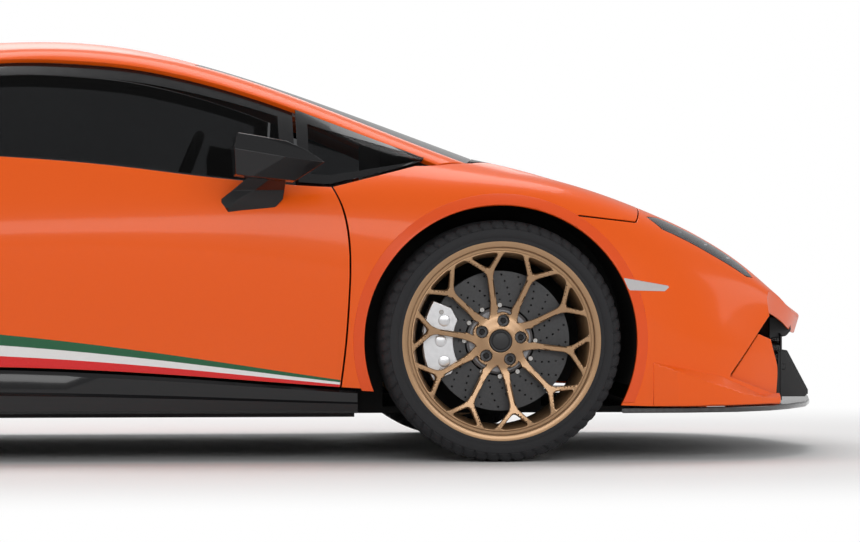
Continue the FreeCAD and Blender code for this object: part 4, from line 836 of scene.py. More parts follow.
# Signed width of the spokes, positive inside them, with their forks blended
def spokeWeb(p):
    flat = p[:, (0, 2)]
    radius = np.hypot(*flat.T)
    fields = [spokes["boss"] - radius, radius - spokes["ring"]]
    for lug in spokes["lugs"]:
        for start, stop, wide, narrow in strokes(lug):
            run = np.subtract(stop, start)
            share = np.clip(((flat - start) * run).sum(1) / (run * run).sum(), 0, 1)
            away = np.linalg.norm(flat - start - share[:, None] * run, axis=1)
            fields.append(wide + (narrow - wide) * share - away)
        fields.append(spokes["collar"] - np.hypot(*(flat - ray(spokes["circle"], lug)).T))
    fields = np.stack(fields) * spokes["blend"]
    top = fields.max(0)
    return (top + np.log(np.exp(fields - top).sum(0))) / spokes["blend"]


# The face dishes in towards the hub
def wheelSpokes(half):
    depth = Fair([0, 45, 66, 100, 150, 200, 232, 250], [half - d for d in (38, 38, 43, 40, 31, 21, 17, 17)])

    def surface(u, t):
        return np.stack([u * np.cos(t), depth(u), u * np.sin(t)], -1)

    cuts = [spokeWeb] + [circleCut(ray(spokes["circle"], lug), spokes["hole"]) for lug in spokes["lugs"]]
    seam = math.radians(spokes["lugs"][0] - 36)
    return shell("spokeFace", surface, (31, 246, spokes["cell"]), (seam, seam + 2 * math.pi, spokes["turn"]), cuts,
                 bronze, wall=18, rounding=2.2, near=0.2, flip=True)


def barrel(half):
    lip = half - 7
    profile = [(253, lip - 14), (240, lip - 14), (236, lip - 20), (229, lip - 60), (227, 0), (232, -lip + 15),
               (250, -lip + 5), (256, -lip), (268, -lip), (270, -lip + 3), (262, -lip + 9), (254, -lip + 12),
               (238, -lip + 30), (234, 0), (236, lip - 60), (252, lip - 22), (266, lip - 14), (271, lip - 6),
               (272, lip - 2), (270.5, lip), (258, lip), (255, lip - 2), (253.5, lip - 5)]
    return turned("barrel", profile, bronze, count=120, smooth=35)


# A small turned piece standing out from a level, at a place on the wheel's face
def stud(name, profile, material, place, level, count=12, smooth=30):
    return movedTo(turned(name, profile, material, count=count, smooth=smooth), (place[0], level, place[1]))


def allRound(piece, count):
    return repeated(piece, count, turn=(0, -2 * math.pi / count, 0))


def lugNuts(half):
    place = ray(spokes["circle"], spokes["lugs"][0])
    nut = stud("nut", [(0.01, 9), (7, 9), (9, 7), (9, -8), (0.01, -8)], gloss, place, half - 44, 6, 20)
    hole = stud("hole", [(14.8, -8), (14.8, 4), (15.6, 4), (15.6, -8)], satin, place, half - 44, 24, 40)
    return merged("lugNuts", [allRound(piece, 5) for piece in (nut, hole)])


def hubCap(half):
    profile = [(0.01, 0), (20, 0), (23, -1), (24.5, -2.5), (26, -1.5), (29, -1.5), (31.5, -4), (33, -10), (33, -24),
               (0.01, -24)]
    return stud("hubCap", profile, satin, (0, 0), half - 34, 48, 35)


# The disc, the caliper and the upright are drawn from the disc's outer face inwards
def brakeDisc(outer, radius):
    rows = np.linspace(112, radius - 10, 5)
    holes = [disc(96, 72)] + [disc(2.9, 8, ray(r, 15 * i + 3.4 * k)) for i in range(24) for k, r in enumerate(rows)]
    rotor = [plate("rotorFace", disc(radius, 96), outer - w, outer - w - 10, ceramic, holes=holes) for w in (0, 24)]
    rotor.append(allRound(block("vane", (100, outer - 24, -2.5), (radius - 3, outer - 10, 2.5), ceramic, soft=0), 36))
    bell = [(30, 5), (84, 5), (91, -1), (93, -30), (90, -30), (88, -4), (30, -1)]
    rotor.append(stud("bell", bell, cast, (0, 0), outer, 72))
    bobbin = [(0.01, 3), (6, 3), (7, 2), (7, -4), (0.01, -4)]
    rotor.append(allRound(stud("bobbin", bobbin, steel, (97, 0), outer + 2), 12))
    return merged("brakeDisc", rotor)


# Tyre: the section runs from one bead over the tread to the other, with grooves, and notches in its shoulders
def tyreBody(half, radius):
    tread = half - 24
    notch = {"beats": 60, "share": 0.22, "slant": 0.012, "depth": 4.5, "inset": 2.5, "reach": 23}
    ribs = []
    for y in (tread * 0.62, tread * 0.2, -tread * 0.2, -tread * 0.62):
        ribs += [(radius, y + 6), (radius - 7, y + 4.5), (radius - 7, y - 4.5), (radius, y - 6)]
    side = [(253, 17), (262, 9.5), (272, 6.5), (276, 5), (280, 5.2), (284, 2), (radius - 35, 0.3), (radius - 24, 1.6),
            (radius - 22.6, 4.4), (radius - 20, 4), (radius - 12, 8), (radius - 5, 15), (radius - 1.2, 24)]
    side = [(r, half - inset) for r, inset in side]

    def notches(angle, r, y):
        beat = (angle * notch["beats"] / (2 * math.pi) + np.abs(y) * notch["slant"] * np.sign(y)) % 1
        cutting = (beat < notch["share"]) & (np.abs(y) > tread - 4) & (r > radius - notch["reach"])
        return np.where(cutting, r - notch["depth"], r), np.where(cutting, y * (1 - notch["inset"] / half), y)

    section = side + ribs + [(r, -y) for r, y in reversed(side)]
    return turned("tyre", section, rubber, count=360, smooth=32, wave=notches)


def caliperBody(outer, radius):
    start, stop = 146, 214

    def arc(height, first, last, count=2):
        return [ray(radius + height, angle) for angle in np.linspace(first, last, count)]

    outline = arc(21, start + 3, stop - 3, 18) + arc(-30, stop, stop, 1) + arc(-62, stop - 8, start + 8, 12)
    outline += arc(-30, start, start, 1)
    parts = [plate("caliperFace", outline, outer + 2, outer + 11, silver, soft=3),
             plate("caliperBack", outline, outer - 42, outer - 60, silver, soft=4)]
    parts += [plate("bridge", arc(6, a, a, 1) + arc(22, a, a + 12) + arc(6, a + 12, a + 12, 1), outer + 8, outer - 52,
                    silver, soft=2) for a in (start + 3, 174, stop - 15)]
    parts += [plate("pad", arc(-4, 158, 202) + arc(-50, 202, 158), outer + a, outer + b, darkInside)
              for a, b in ((2, 0.5), (-37, -42))]
    piston = [(0.01, 2.5), (13, 2.5), (16, 1), (17, -3), (0.01, -3)]
    bolt = [(0.01, 2.5), (6, 2.5), (7, 1.5), (7, -2), (0.01, -2)]
    for angle in (160, 180, 200):
        parts.append(stud("piston", piston, silver, ray(radius - 28, angle), outer + 11, 32, 35))
    for angle in (start + 8, stop - 8):
        parts.append(stud("bolt", bolt, steel, ray(radius - 12, angle), outer + 11, 6, 20))
    return parts


def upright(outer):
    return [stud("hub", [(0.01, -2), (60, -2), (60, -54), (0.01, -54)], cast, (0, 0), outer, 48, 40),
            block("post", (-45, outer - 70, -118), (45, outer - 46, 118), cast, soft=6)]


def wheelParts(half, tyre, discRadius):
    outer = half - 65.5
    return {"tyre": tyreBody(half, tyre), "rim": merged("rim", [wheelSpokes(half), barrel(half)]),
            "brake_disc": brakeDisc(outer, discRadius),
            "wheelDetail": merged("wheelDetail", [lugNuts(half), hubCap(half)]),
            "holder": merged("holder", caliperBody(outer, discRadius) + upright(outer))}


slots = {"tyre": "tyre_rubber", "rim": "bronze_wheel", "brake_disc": "ceramic_disc", "holder": "silver_caliper"}
holders = {"front": ("front_upright_", "front_knuckle_"), "rear": ("body", "rear_carrier_")}
for end, size in wheelSizes.items():
    for kind, piece in wheelParts(size["half"], size["tyre"], size["disc"]).items():
        movedTo(piece, size["axle"])
        for name, side in sides.items():
            place = end + "_" + name
            body, stands = end + "_wheel_" + name, [kind + "_" + place] if kind in slots else []
            if kind == "holder":
                carrier, node = holders[end]
                body, stands = carrier if end == "rear" else carrier + name, [node + name]
            label = kind + "_" + place + "_shape"
            copy = mirroredCopy(piece, label) if side < 0 else piece
            copy.name = label
            show(copy, body, *stands, slot=slots.get(kind))
print("wheels made")


# What lies on the skins: arch lips, door stripe, side markers, corner blades, ledges
lip = {"band": 30, "lift": 0.8, "rise": 5.0, "foot": 160}


def lipRise(arch):
    return lambda p: lip["lift"] + lip["rise"] * np.clip((lip["band"] - archCut(arch)(p)) / lip["band"], 0, 1)


# A ring lifted off the skin round the arch, in the darker copy of the body paint that paints the shade on the lip
def lipRing(surface, arch, us, ts, side):
    cuts = [archCut(arch, 0.5), lambda p: -archCut(arch, lip["band"])(p), lambda p: p[:, 2] - lip["foot"]]
    return shell("archLip", lifted(surface, lipRise(arch)), us, ts, cuts, shadedLipPaint, wall=7, rounding=1.2, side=side)


bothOf(lambda side: lipRing(frontSkin, frontArch, (0.02, 0.75, 0.006), (740, 1480, 9), side), "frontLip", "body",
       slot="body_paint")
bothOf(lambda side: lipRing(rearSkin, rearArch, (0.15, 0.70, 0.006), (640, 1420, 9), side), "rearLip", "body",
       slot="body_paint")


# Three stripes along the door's lower edge, which taper towards the front
band = {"rear": (-88, 82), "front": (822, 14), "least": 12, "most": 90, "clear": 0.5}


def stripe(number, side):
    def above(p, share):
        (x0, tall), (x1, low) = band["rear"], band["front"]
        height = np.clip(tall + (low - tall) * (p[:, 0] - x0) / (x1 - x0), band["least"], band["most"])
        return p[:, 2] - sillLine(p[:, 0]) - gap - band["clear"] - height * share

    cuts = doorCuts(1) + [lambda p: above(p, number / 3), lambda p: -above(p, (number + 1) / 3)]
    return shell("stripe", lifted(doorSkin, 0.5), (0, 1, 0.012), (380, 640, 7), cuts, stripeColours[number], wall=1.0,
                 rounding=0.2, side=side)


for number in range(3):
    bothOf(lambda side: stripe(number, side), "stripe%d_" % number, "door_*")


def onFlank(outline, lift, wall, material, rounding, side):
    return shell("onFlank", lifted(frontSkin, lift), (0.5, 1, 0.005), (740, 1480, 6), [sideCut(outline, 1)], material,
                 wall=wall, rounding=rounding, side=side)


# Ledge low on the flank, which stands out below a slanting line
def flankLedge(side):
    def upper(p):
        return np.interp(p[:, 0], (1610, 1802, 1922, 1990), (269, 228, 176, 176))

    def rise(p):
        under = np.interp(p[:, 0], (1610, 1755, 1860, 1922, 1990), (266, 215, 181, 168, 166))
        down = np.clip((upper(p) - p[:, 2]) / (upper(p) - under), 0, 1)
        return 0.4 + 15 * down * np.clip((p[:, 0] - 1600) / 70, 0, 1)

    cuts = [lambda p: p[:, 0] - 1606, lambda p: 1986 - p[:, 0], lambda p: upper(p) - p[:, 2],
            lambda p: p[:, 2] - 150]
    return shell("ledge", lifted(frontSkin, rise), (0.6, 1, 0.004), (1180, 1480, 5), cuts, paint, wall=6,
                 rounding=1.5, side=side)


def overLip(p):
    return 0.9 + lipRise(frontArch)(p)


marker = [(1521, 499), (1536, 465), (1638, 462), (1654, 476)]
blade = [(1829, 222), (1919, 342), (1960, 325), (1986, 312), (1986, 172), (1870, 172)]
bothOf(lambda side: onFlank(marker, overLip, 4, markerGrey, 0.8, side), "sideMarker", "body")
bothOf(lambda side: onFlank(blade, -15, 6, paint, 1.5, side), "cornerBlade", "body", slot="body_paint")
bothOf(flankLedge, "flankLedge", "body", slot="body_paint")
print("skin details made")


# Headlamps: a lens in the skin over a black bucket with lamps and a light bar
def headlamp(side):
    barPlan = [(1662, 806), (1790, 778), (1880, 742), (1872, 734), (1786, 768), (1660, 796)]
    layers = (("lens", 0, lampPlan, -0.7, (0.45, 1, 0.008), (560, 1080, 9), smoked, 2.5),
              ("bucket", -16, lampPlan, -0.7, (0.45, 1, 0.008), (560, 1080, 9), gloss, 3),
              ("bar", -9, barPlan, 0, (0.45, 1, 0.004), (560, 1080, 3), whiteLight, 3))
    parts = [shell(name, lifted(frontSkin, lift), us, ts, [planCut(plan, 1, grow)], material, wall=wall, side=side)
             for name, lift, plan, grow, us, ts, material, wall in layers]
    profile = [(0.01, 2), (12, 4), (15, 6), (17, 5), (17, -8), (0.01, -8)]
    us, ts = np.meshgrid(np.linspace(0.5, 1, 60), np.linspace(560, 1000, 60))
    skin = frontSkin(us.ravel(), ts.ravel())
    for x, y in ((1690, 770), (1760, 748), (1825, 728)):
        z = skin[np.argmin(np.hypot(skin[:, 0] - x, skin[:, 1] - y)), 2] - 14
        parts.append(movedTo(turned("lamp", profile, chrome, axis=2, count=32, smooth=30), (x, y * side, z)))
    return merged("headlamp", parts)


show(merged("headlampPair", [headlamp(side) for side in sides.values()]), "body", "headlamps", slot="lamp_glass")

# Nose: splitter, mesh behind the mouth, fins and corner pockets
splitterHalf = [(1520, 900), (1700, 890), (1850, 846), (1955, 757), (2025, 648), (2092, 498), (2135, 299)]
splitter = splitterHalf + [(2180, 0)] + [(x, -y) for x, y in reversed(splitterHalf)] + [(1700, -498), (1700, 498)]
show(plate("splitter", splitter, 130, 145, carbon, axis=2, soft=4), "body", "front_splitter", slot="gloss_black")


def honeycomb(outline, pitch, rib=4):
    outline = np.array(outline, float)
    low, high = outline.min(0), outline.max(0)
    cells = []
    for j in range(int((high[1] - low[1]) / (pitch * 0.866)) + 1):
        for i in range(int((high[0] - low[0]) / pitch) + 1):
            x, y = low + pitch * np.array([0.5 + i + 0.5 * (j % 2), 0.5 + j * 0.866])
            if depthIn(np.array([[x, y]]), outline)[0] > pitch * 0.5 + 1:
                cells.append(disc((pitch - rib) * 0.577, 6, (x, y), math.pi / 6))
    return cells


mouth = [(-515, 150), (515, 150), (515, 330), (330, 372), (-330, 372), (-515, 330)]
fin = [(2008, 176), (2011, 288), (2030, 285), (2090, 173), (2090, 160), (2008, 160)]
noseParts = [plate("mesh", mouth, 2018, 2022, satin, axis=0, holes=honeycomb(mouth, 30)),
             block("cross", (2020, -515, 236), (2034, 515, 252), satin, soft=3)]
for side in (1, -1):
    for y, shift in ((510, 0), (420, 18), (330, 36)):
        noseParts.append(plate("fin", [(x + shift, z) for x, z in fin], side * y, side * (y - 7), satin, soft=1.5))
    pocket = [(565, 150), (688, 150), (688, 330), (565, 330)]
    outline, *holes = [[(side * y, z) for y, z in loop] for loop in [pocket] + honeycomb(pocket, 30)]
    noseParts.append(plate("corner", outline, 1929, 1934, satin, axis=0, holes=holes))
show(merged("noseMesh", noseParts), "body", "front_grilles", slot="satin_black")
print("nose made")


# Side skirts
def skirt(side):
    sections = []
    for x in np.linspace(-888, 803, 16):
        low, top = 131, float(sillLine(x)) - 3
        tall = top - low
        line = [(800, low), (862, low), (880, low + 8), (884, low + 0.42 * tall), (872, low + 0.5 * tall),
                (874, low + 0.9 * tall), (868, top), (800, top)]
        sections.append([(x, y * side, z) for y, z in line])
    return ringed("skirt", np.array(sections), gloss, 30)


show(merged("skirts", [skirt(side) for side in sides.values()]), "body", "side_sills", slot="gloss_black")


# Door mirrors: a faceted head on a slanting arm
def faceted(name, points, faces, side, soft):
    obj = outward(newMesh(name, mirrored(np.array(points, float), side), faces, gloss), 20)
    return softened(obj, soft, angle=12)


def doorMirror(side):
    front = [(464, 1086, 777), (459, 1108, 847), (470, 1084, 889), (532, 1082, 879), (600, 1074, 866),
             (650, 1062, 845), (704, 1040, 811), (625, 1036, 760), (507, 1080, 771)]
    points = front + [(x, 912, z - 4) for x, y, z in front] + [(596, 1116, 824)]
    faces = [(0, 1, 18, 8), (8, 18, 6, 7), (1, 2, 3, 4, 5, 6, 18), tuple(range(9, 18))]
    faces += [(i, (i + 1) % 9, (i + 1) % 9 + 9, i + 9) for i in range(9)]
    head = faceted("head", points, faces, side, 2.5)
    head.data.materials.append(chrome)
    for face in head.data.polygons:
        if face.normal.x < -0.9 and face.area > 0.001:
            face.material_index = 1
    rows = []
    for z, x0, x1, ridge, near, far in ((671, 442, 546, 450, 858, 884), (688, 434, 578, 452, 858, 894),
                                        (712, 433, 600, 480, 854, 904), (736, 463, 603, 522, 850, 918),
                                        (772, 505, 606, 568, 884, 962)):
        rows += [(x0, near, z), (x1, near, z), (x1, far - 10, z), (ridge, far, z), (x0, far - 20, z)]
    faces = [tuple(range(5)), tuple(range(20, 25))]
    faces += [(k + j, k + (j + 1) % 5, k + 5 + (j + 1) % 5, k + 5 + j) for k in (0, 5, 10, 15) for j in range(5)]
    return merged("doorMirror", [head, faceted("arm", rows, faces, side, 2)])


bothOf(doorMirror, "doorMirror_", "door_*", "mirror_*", slot="gloss_black")


# Black borders and pillars of the side windows
def border(surface, spans, side):
    return merged("border", [shell("border", lifted(surface, 0.6, -1), (u0, u1, 0.02), (t0, t1, 0.05), [], gloss,
                                   wall=1.5, rounding=0.3, side=side, flip=True) for u0, u1, t0, t1 in spans])


doorSpans = [(0, 1, 0.88, 1), (0, 1, 0, 0.06), (0, 0.05, 0.05, 0.9), (0.955, 1, 0.05, 0.9)]
frontSpans = [(0, 1, 0.82, 1), (0, 0.09, 0, 0.85), (0, 1, 0, 0.12)]
bothOf(lambda side: border(doorPane, doorSpans, side), "doorBorder_", "door_*")
bothOf(lambda side: border(quarterPane, frontSpans, side), "frontBorder_", "body")
print("mirrors, skirts and window borders made")


# Turned-down lip under the nose, over the mouth
def lipSurface(u, t):
    drop = 46 + 18 * np.clip((np.abs(t) - 740) / 160, 0, 1)
    return frontBoth(np.ones_like(u), t) + np.stack([-14 * u, 0 * u, -drop * u], -1)


show(shell("noseLip", lipSurface, (0, 1, 0.1), (-902, 902, 16), [], paint, wall=5, rounding=1.5), "body",
     slot="body_paint")
tray = [(1990, 384), (2050, 386), (2054, 345), (2040, 329), (1990, 320)]
show(plate("noseTray", tray, -478, 478, satin, soft=4), "body", slot="satin_black")

# Cowl between bonnet and windscreen, along the bowed foot of the screen
cowl = [(1179 - 60 * (y / 740) ** 2, y) for y in (0, 150, 300, 450, 600, 700)] + [(1124, 744), (1199, 640)]
cuts = [planCut(withMirror(cowl), 1)]
show(shell("cowlPanel", frontBoth, (0.22, 0.42, 0.008), (-746, 746, 14), cuts, satin, wall=6), "body", "cowl",
     slot="satin_black")


# Tail
tailEnd = -2188


def tailBumper():
    cuts = [lambda p: -1990 - p[:, 0], planCut(coverHalf(gap / 2))]
    parts = [shell("corner", rearSkin, (0, 0.16, 0.006), (455, 1420, 11), cuts, paint, side=side) for side in (1, -1)]
    half = [(float(line.y(tailEnd)), float(line.z(tailEnd)) - 7) for line in (deckEdge, sail, shoulder)]
    half += [(790, 620), (800, 430), (790, 335)]
    opening = [(-560, 485), (560, 485), (600, 560), (560, 690), (-560, 690), (-600, 560)]
    outline = half + [(-y, z) for y, z in reversed(half)]
    parts.append(plate("panel", outline, tailEnd + 18, tailEnd, gloss, axis=0, holes=[opening], soft=2))
    holes = [hole for hole in honeycomb(opening, 44, 5)
             if all(math.hypot(hole[0][0] - side * 150, hole[0][1] - 585) > 84 for side in (1, -1))]
    outline = [(y * 1.02, 587 + (z - 587) * 1.03) for y, z in opening]
    parts.append(plate("mesh", outline, tailEnd + 22, tailEnd + 18, satin, axis=0, holes=holes))
    return merged("tailBumper", parts)


def diffuser():
    tray = [(-2012, 134), (-2120, 172), (-2250, 237), (-2250, 328), (-2184, 328), (-2184, 262), (-2110, 196),
            (-2012, 152)]
    fin = [(-2012, 102), (-2238, 132), (-2250, 238), (-2180, 208), (-2012, 140)]
    parts = [plate("tray", tray, -618, 618, carbon, soft=2)]
    parts += [plate("fin", fin, y, y + 8, satin, soft=2) for y in (-500, -300, -100, 100, 300, 500)]
    return merged("diffuser", parts)


def tailWing():
    section = [(0, 6), (-12, 14), (-45, 25), (-95, 32), (-150, 36), (-205, 44), (-248, 53),
               (-250, 50), (-205, 34), (-150, 19), (-95, 6), (-45, 0), (-12, 0)]
    stations = ((-708, 0.55), (-704, 0.85), (-690, 1), (-230, 1), (230, 1), (690, 1), (704, 0.85), (708, 0.55))
    rows = [[((x + 125) * size - 2075, y, (z - 20) * size + 1095) for x, z in section] for y, size in stations]
    leg = [(-1985, 868), (-2110, 858), (-2128, 920), (-2134, 1020), (-2112, 1104), (-2032, 1097), (-2020, 1000)]
    legs = [plate("leg", leg, side * 418, side * 434, carbon, soft=4) for side in (1, -1)]
    return merged("tailWing", [ringed("blade", np.array(rows), carbon, 35)] + legs)


def exhaust():
    lip = [(51, -2235), (48, -2233), (47.5, -1980), (46, -1975), (46, -1910), (51.5, -1910), (52, -2228)]
    throat = [(0.5, -2030), (46.5, -2030), (46.5, -2026), (0.5, -2026)]
    parts = []
    for centre in ((0, 150, 585), (0, -150, 585)):
        parts.append(turned("pipe", lip, steel, centre, count=48, axis=0))
        parts.append(turned("throat", throat, darkInside, centre, count=32, axis=0))
    parts.append(block("silencer", (-1910, -430, 512), (-1702, 430, 658), steel, soft=26))
    return merged("exhaustPipes", parts)


def tailLamps():
    arrow = [(440, 700), (520, 745), (700, 745), (640, 724), (520, 722), (470, 694)]
    parts = []
    for side in (1, -1):
        near, far = sorted((side * 422, side * 698))
        parts.append(block("lamp", (-2215, near, 747), (-2195, far, 773), red, soft=3))
        parts.append(plate("arrow", [(side * y, z) for y, z in arrow], -2202, -2186, red, axis=0, soft=1.5))
    return merged("tailLights", parts)


def deckTail():
    cuts = [planCut(coverHalf(gap / 2))]
    return shell("deckTail", rearBoth, (0, 0.14, 0.006), (-446, 446, 12), cuts, paint, wall=5)


show(tailBumper(), "body", "rear_bumper", slot="body_paint")
show(deckTail(), "body", "rear_deck", slot="body_paint")
show(diffuser(), "body", "rear_diffuser", slot="satin_black")
show(tailWing(), "body", "rear_wing", slot="satin_black")
show(exhaust(), "body", "exhaust", slot="steel_pipe")
show(tailLamps(), "body", "tail_lamps", slot="tail_red")
show(block("rearWindow", (-432, -398, 802), (-427, 398, 1028), glass, soft=1), "body", "rear_window",
     slot="window_glass")
for side in (1, -1):
    grown = [(-252, 712), (-562, 652), (-652, 522), (-572, 318), (-292, 278), (-252, 318)]
    duct = [plate("wall", grown, side * 722, side * 858, satin, holes=[intakeSide]),
            plate("mesh", grown, side * 722, side * 726, satin, holes=honeycomb(intakeSide, 34))]
    show(merged("intake", duct), "body", slot="satin_black")
print("tail made")


# Cabin: thin pads on shell seats, dashboard, console and steering wheel
def pad(name, outline, near, far, pinch=0.8):
    outline = np.array(outline, float)
    middle = outline.mean(axis=0)
    swell = ((0, pinch * 0.8), (0.02, pinch), (0.12, 0.96), (0.5, 1), (0.88, 0.96), (0.98, pinch), (1, pinch * 0.8))
    rows = []
    for share, size in swell:
        rows.append([(x, near + (far - near) * share, z) for x, z in middle + (outline - middle) * size])
    obj = ringed(name, np.array(rows), hide, 180)
    rounding = obj.modifiers.new("rounded", "SUBSURF")
    rounding.levels = rounding.render_levels = 2
    return outward(settle(obj), 180)


def seatShell(side):
    back = [(-118, 200), (-240, 640), (-262, 890), (-326, 894), (-350, 636), (-252, 180), (-170, 142), (326, 142),
            (326, 160), (-120, 176)]
    return plate("shell", back, 365 * side - 222, 365 * side + 222, carbon, soft=14)


def seatPads(side):
    cushion = [(-120, 172), (330, 160), (338, 205), (300, 246), (100, 226), (-110, 214)]
    back = [(-98, 240), (-218, 640), (-236, 690), (-262, 690), (-250, 640), (-150, 240)]
    head = [(-224, 720), (-236, 872), (-276, 890), (-296, 860), (-276, 726)]
    bolster = [(-100, 170), (280, 165), (300, 205), (240, 262), (-90, 258)]
    wing = [(-84, 262), (-190, 640), (-214, 700), (-286, 700), (-262, 620), (-170, 262)]
    pieces = [(cushion, 0, 150), (back, 0, 140), (head, 0, 120)]
    pieces += [(form, edge * y, half) for edge in (-1, 1) for form, y, half in ((bolster, 190, 34), (wing, 186, 40))]
    parts = [pad("pad", form, 365 * side + y - half, 365 * side + y + half) for form, y, half in pieces]
    for edge in (-1, 1):
        seam = [(x, 365 * side + edge * 128, z) for x, z in ((-90, 246), (-130, 380), (-172, 520), (-206, 640))]
        parts.append(tube("seam", seam, 2.5, thread, count=6))
    return parts


def dashboard():
    top = [(878, 566), (878, 738), (760, 752), (640, 752), (560, 742), (526, 700), (562, 606), (700, 546)]
    hood = [(700, 742), (560, 744), (520, 738), (530, 752), (600, 772), (700, 764)]
    parts = [pad("panel", top, -698, 698, pinch=0.98),
             block("console", (-78, -88, 301), (598, 88, 418), hide, soft=14),
             block("rise", (548, -86, 382), (640, 86, 640), gloss, soft=10),
             block("screenPane", (536, -92, 560), (548, 92, 690), gloss, soft=3),
             pad("hood", hood, 240, 490, pinch=0.9)]
    for y in (-600, -200, 200, 600):
        outer, inner = disc(44, 6, (y, 690)), disc(36, 6, (y, 690))
        parts.append(plate("vent", outer, 530, 548, satin, axis=0, holes=[inner], soft=2))
    return parts


# Pieces on the steering column are drawn about its axis
def onColumn(obj):
    place = Matrix.Translation(Vector((352, 365, 740)) * mm) @ Matrix.Rotation(math.radians(-68), 4, "Y")
    obj.data.transform(place)
    return obj


def steeringWheel():
    wheel = {"radius": 178, "grip": 15, "flat": -148, "lowSpoke": 0.86}
    path = [(max(x, wheel["flat"]), y, 0) for x, y in disc(wheel["radius"], 72)]
    boss = [(0.5, 4), (43.4, 3), (58.28, -3), (62, -12), (55.8, -30), (0.5, -30)]
    parts = [tube("ring", path, wheel["grip"], hide, count=14, closed=True),
             turned("pad", boss, hide, count=48, axis=2),
             turned("column", [(0.5, -28), (24, -28), (24, -118), (0.5, -118)], satin, count=32, axis=2)]
    for angle, size in ((90, 1), (180, wheel["lowSpoke"]), (270, 1)):
        spoke = [(48, -17), (110, -13), (172, -20), (172, 20), (110, 13), (48, 17)]
        arm = plate("spoke", spoke, -20, -9, satin, axis=2, soft=3)
        arm.data.transform(Matrix.Rotation(math.radians(angle), 4, "Z") @ Matrix.Scale(size, 4, (1, 0, 0)))
        parts.append(arm)
    return onColumn(merged("steeringWheel", parts))


show(merged("seatShells", [seatShell(side) for side in (1, -1)]), "body", "seats", slot="cabin_trim")
show(merged("seatPads", seatPads(1) + seatPads(-1)), "body", slot="cabin_trim")
shroud = turned("shroud", [(0.5, -122), (34, -122), (40, -160), (42, -286), (0.5, -286)], hide, count=40, axis=2)
show(merged("dashboardPanel", dashboard() + [onColumn(shroud)]), "body", "dashboard", slot="cabin_trim")
show(steeringWheel(), "steering_wheel", "steering_wheel", slot="cabin_trim")
print("cabin made")


# Engine under its cover
def engine():
    parts = [block("case", (-1118, -240, 140), (-482, 240, 420), cast, soft=12)]
    for side in (1, -1):
        low, high = sorted((side * 150, side * 306))
        parts.append(block("headCover", (-1098, low, 418), (-502, high, 520), satin, soft=22))
        runner = [(-560, side * 196, 512), (-560, side * 176, 566), (-560, side * 120, 594), (-560, side * 60, 590)]
        parts.append(repeated(tube("runner", runner, 27, cast, count=16), 5, shift=(-120, 0, 0)))
    parts.append(block("plenum", (-1090, -92, 530), (-510, 92, 614), carbon, soft=26))
    return merged("engineBlock", parts)


show(engine(), "body", "engine_block", slot="bare_aluminium")
for side in (1, -1):
    low, high = sorted((side * 766, side * 782))
    show(block("sealStrip", (640, low, 690), (796, high, 776), satin, soft=3), "body", slot="satin_black")
show(block("valance", (1600, -838, 147), (1640, 838, 300), darkInside, soft=4), "body", slot="satin_black")
plainNodes = {"floor_pan": darkInside, "wheel_liners": darkInside, "luggage_tub": satin, "front_suspension": cast,
              "rear_suspension": cast}
for node, material in plainNodes.items():
    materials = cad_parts[node].data.materials
    materials.clear()
    materials.append(material)
print("inside made")


# Floor, light and background, which aren't part of the object
def softLight(name, place, aim, size, watts):
    lamp = bpy.data.lights.new(name, "AREA")
    lamp.shape = "RECTANGLE"
    lamp.size, lamp.size_y = size
    lamp.energy = watts
    obj = linked(name, lamp)
    obj.location = place
    obj.rotation_euler = (Vector(aim) - Vector(place)).to_track_quat("-Z", "Y").to_euler()


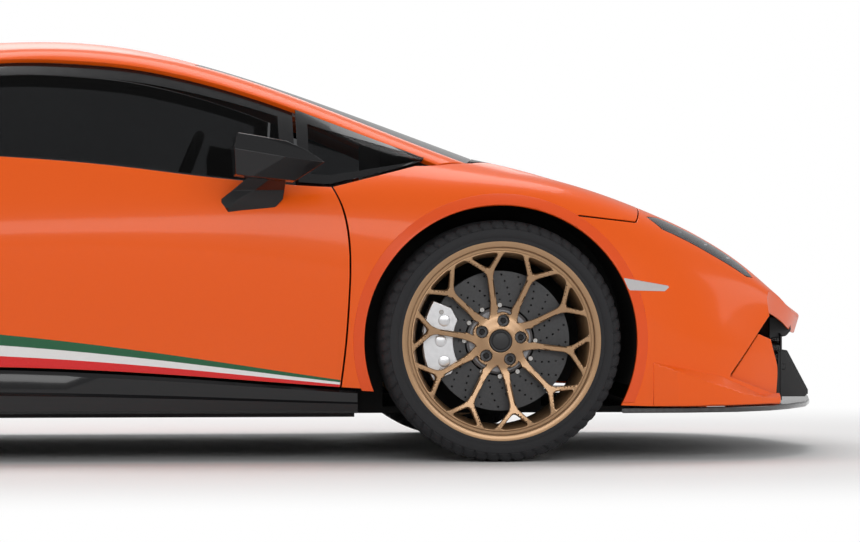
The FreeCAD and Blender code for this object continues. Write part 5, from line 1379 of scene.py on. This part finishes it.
# The floor takes the car's shadow, and away from the car the camera sees it as white as the background
def paleFloor():
    grey = (0.80, 0.80, 0.80)
    fade = {"stretch": (0.45, 1.0, 1.0), "begin": 1.5, "finish": 3.2}
    material = finish("paleFloor", 200, roughness=(0.7, 0.75), colour=(grey, grey))
    nodes = material.node_tree.nodes
    where = addNode(material, "ShaderNodeTexCoord")
    scaled = addNode(material, "ShaderNodeVectorMath", operation="MULTIPLY")
    scaled.inputs[1].default_value = fade["stretch"]
    reach = addNode(material, "ShaderNodeVectorMath", operation="LENGTH")
    spread = addNode(material, "ShaderNodeMapRange", interpolation_type="SMOOTHSTEP", From_Min=fade["begin"],
                     From_Max=fade["finish"])
    path = addNode(material, "ShaderNodeLightPath")
    seen = addNode(material, "ShaderNodeMath", operation="MULTIPLY")
    white = addNode(material, "ShaderNodeEmission")
    mix = addNode(material, "ShaderNodeMixShader")
    join(material, where.outputs["Object"], scaled.inputs[0])
    join(material, scaled.outputs[0], reach.inputs[0])
    join(material, reach.outputs["Value"], spread.inputs["Value"])
    join(material, spread.outputs["Result"], seen.inputs[0])
    join(material, path.outputs["Is Camera Ray"], seen.inputs[1])
    join(material, seen.outputs[0], mix.inputs[0])
    join(material, nodes["Principled BSDF"].outputs[0], mix.inputs[1])
    join(material, white.outputs[0], mix.inputs[2])
    join(material, mix.outputs[0], nodes["Material Output"].inputs["Surface"])
    return material


far = 40000
newMesh("floor", [(-far, -far, 0), (far, -far, 0), (far, far, 0), (-far, far, 0)], [(0, 1, 2, 3)],
                 paleFloor())
softLight("overhead", (0, 1.7, 6.0), (0, 0, 0), (7.0, 3.0), 235)
softLight("side", (1.5, -9.0, 3.2), (0.3, 0, 0.5), (8.0, 2.4), 225)
softLight("otherSide", (-1.0, 9.0, 4.0), (0, 0, 0.4), (8.0, 3.0), 115)
softLight("nose", (9.0, -1.0, 3.0), (1, 0, 0.4), (5.0, 2.5), 80)
softLight("tail", (-9.0, 0.0, 3.0), (-1, 0, 0.5), (5.0, 2.5), 100)


# The camera sees the background white, while the car is lit by the dimmer studio
def studioWorld():
    world = bpy.data.worlds.new("studio")
    world.use_nodes = True
    dim = world.node_tree.nodes["Background"]
    dim.inputs["Color"].default_value = (0.92, 0.92, 0.92, 1)
    dim.inputs["Strength"].default_value = 0.50
    white = addNode(world, "ShaderNodeBackground", Color=(1, 1, 1, 1))
    path = addNode(world, "ShaderNodeLightPath")
    mix = addNode(world, "ShaderNodeMixShader")
    join(world, path.outputs["Is Camera Ray"], mix.inputs[0])
    join(world, dim.outputs[0], mix.inputs[1])
    join(world, white.outputs[0], mix.inputs[2])
    join(world, mix.outputs[0], world.node_tree.nodes["World Output"].inputs["Surface"])
    return world


scene.world = studioWorld()
scene.view_settings.view_transform = "Standard"
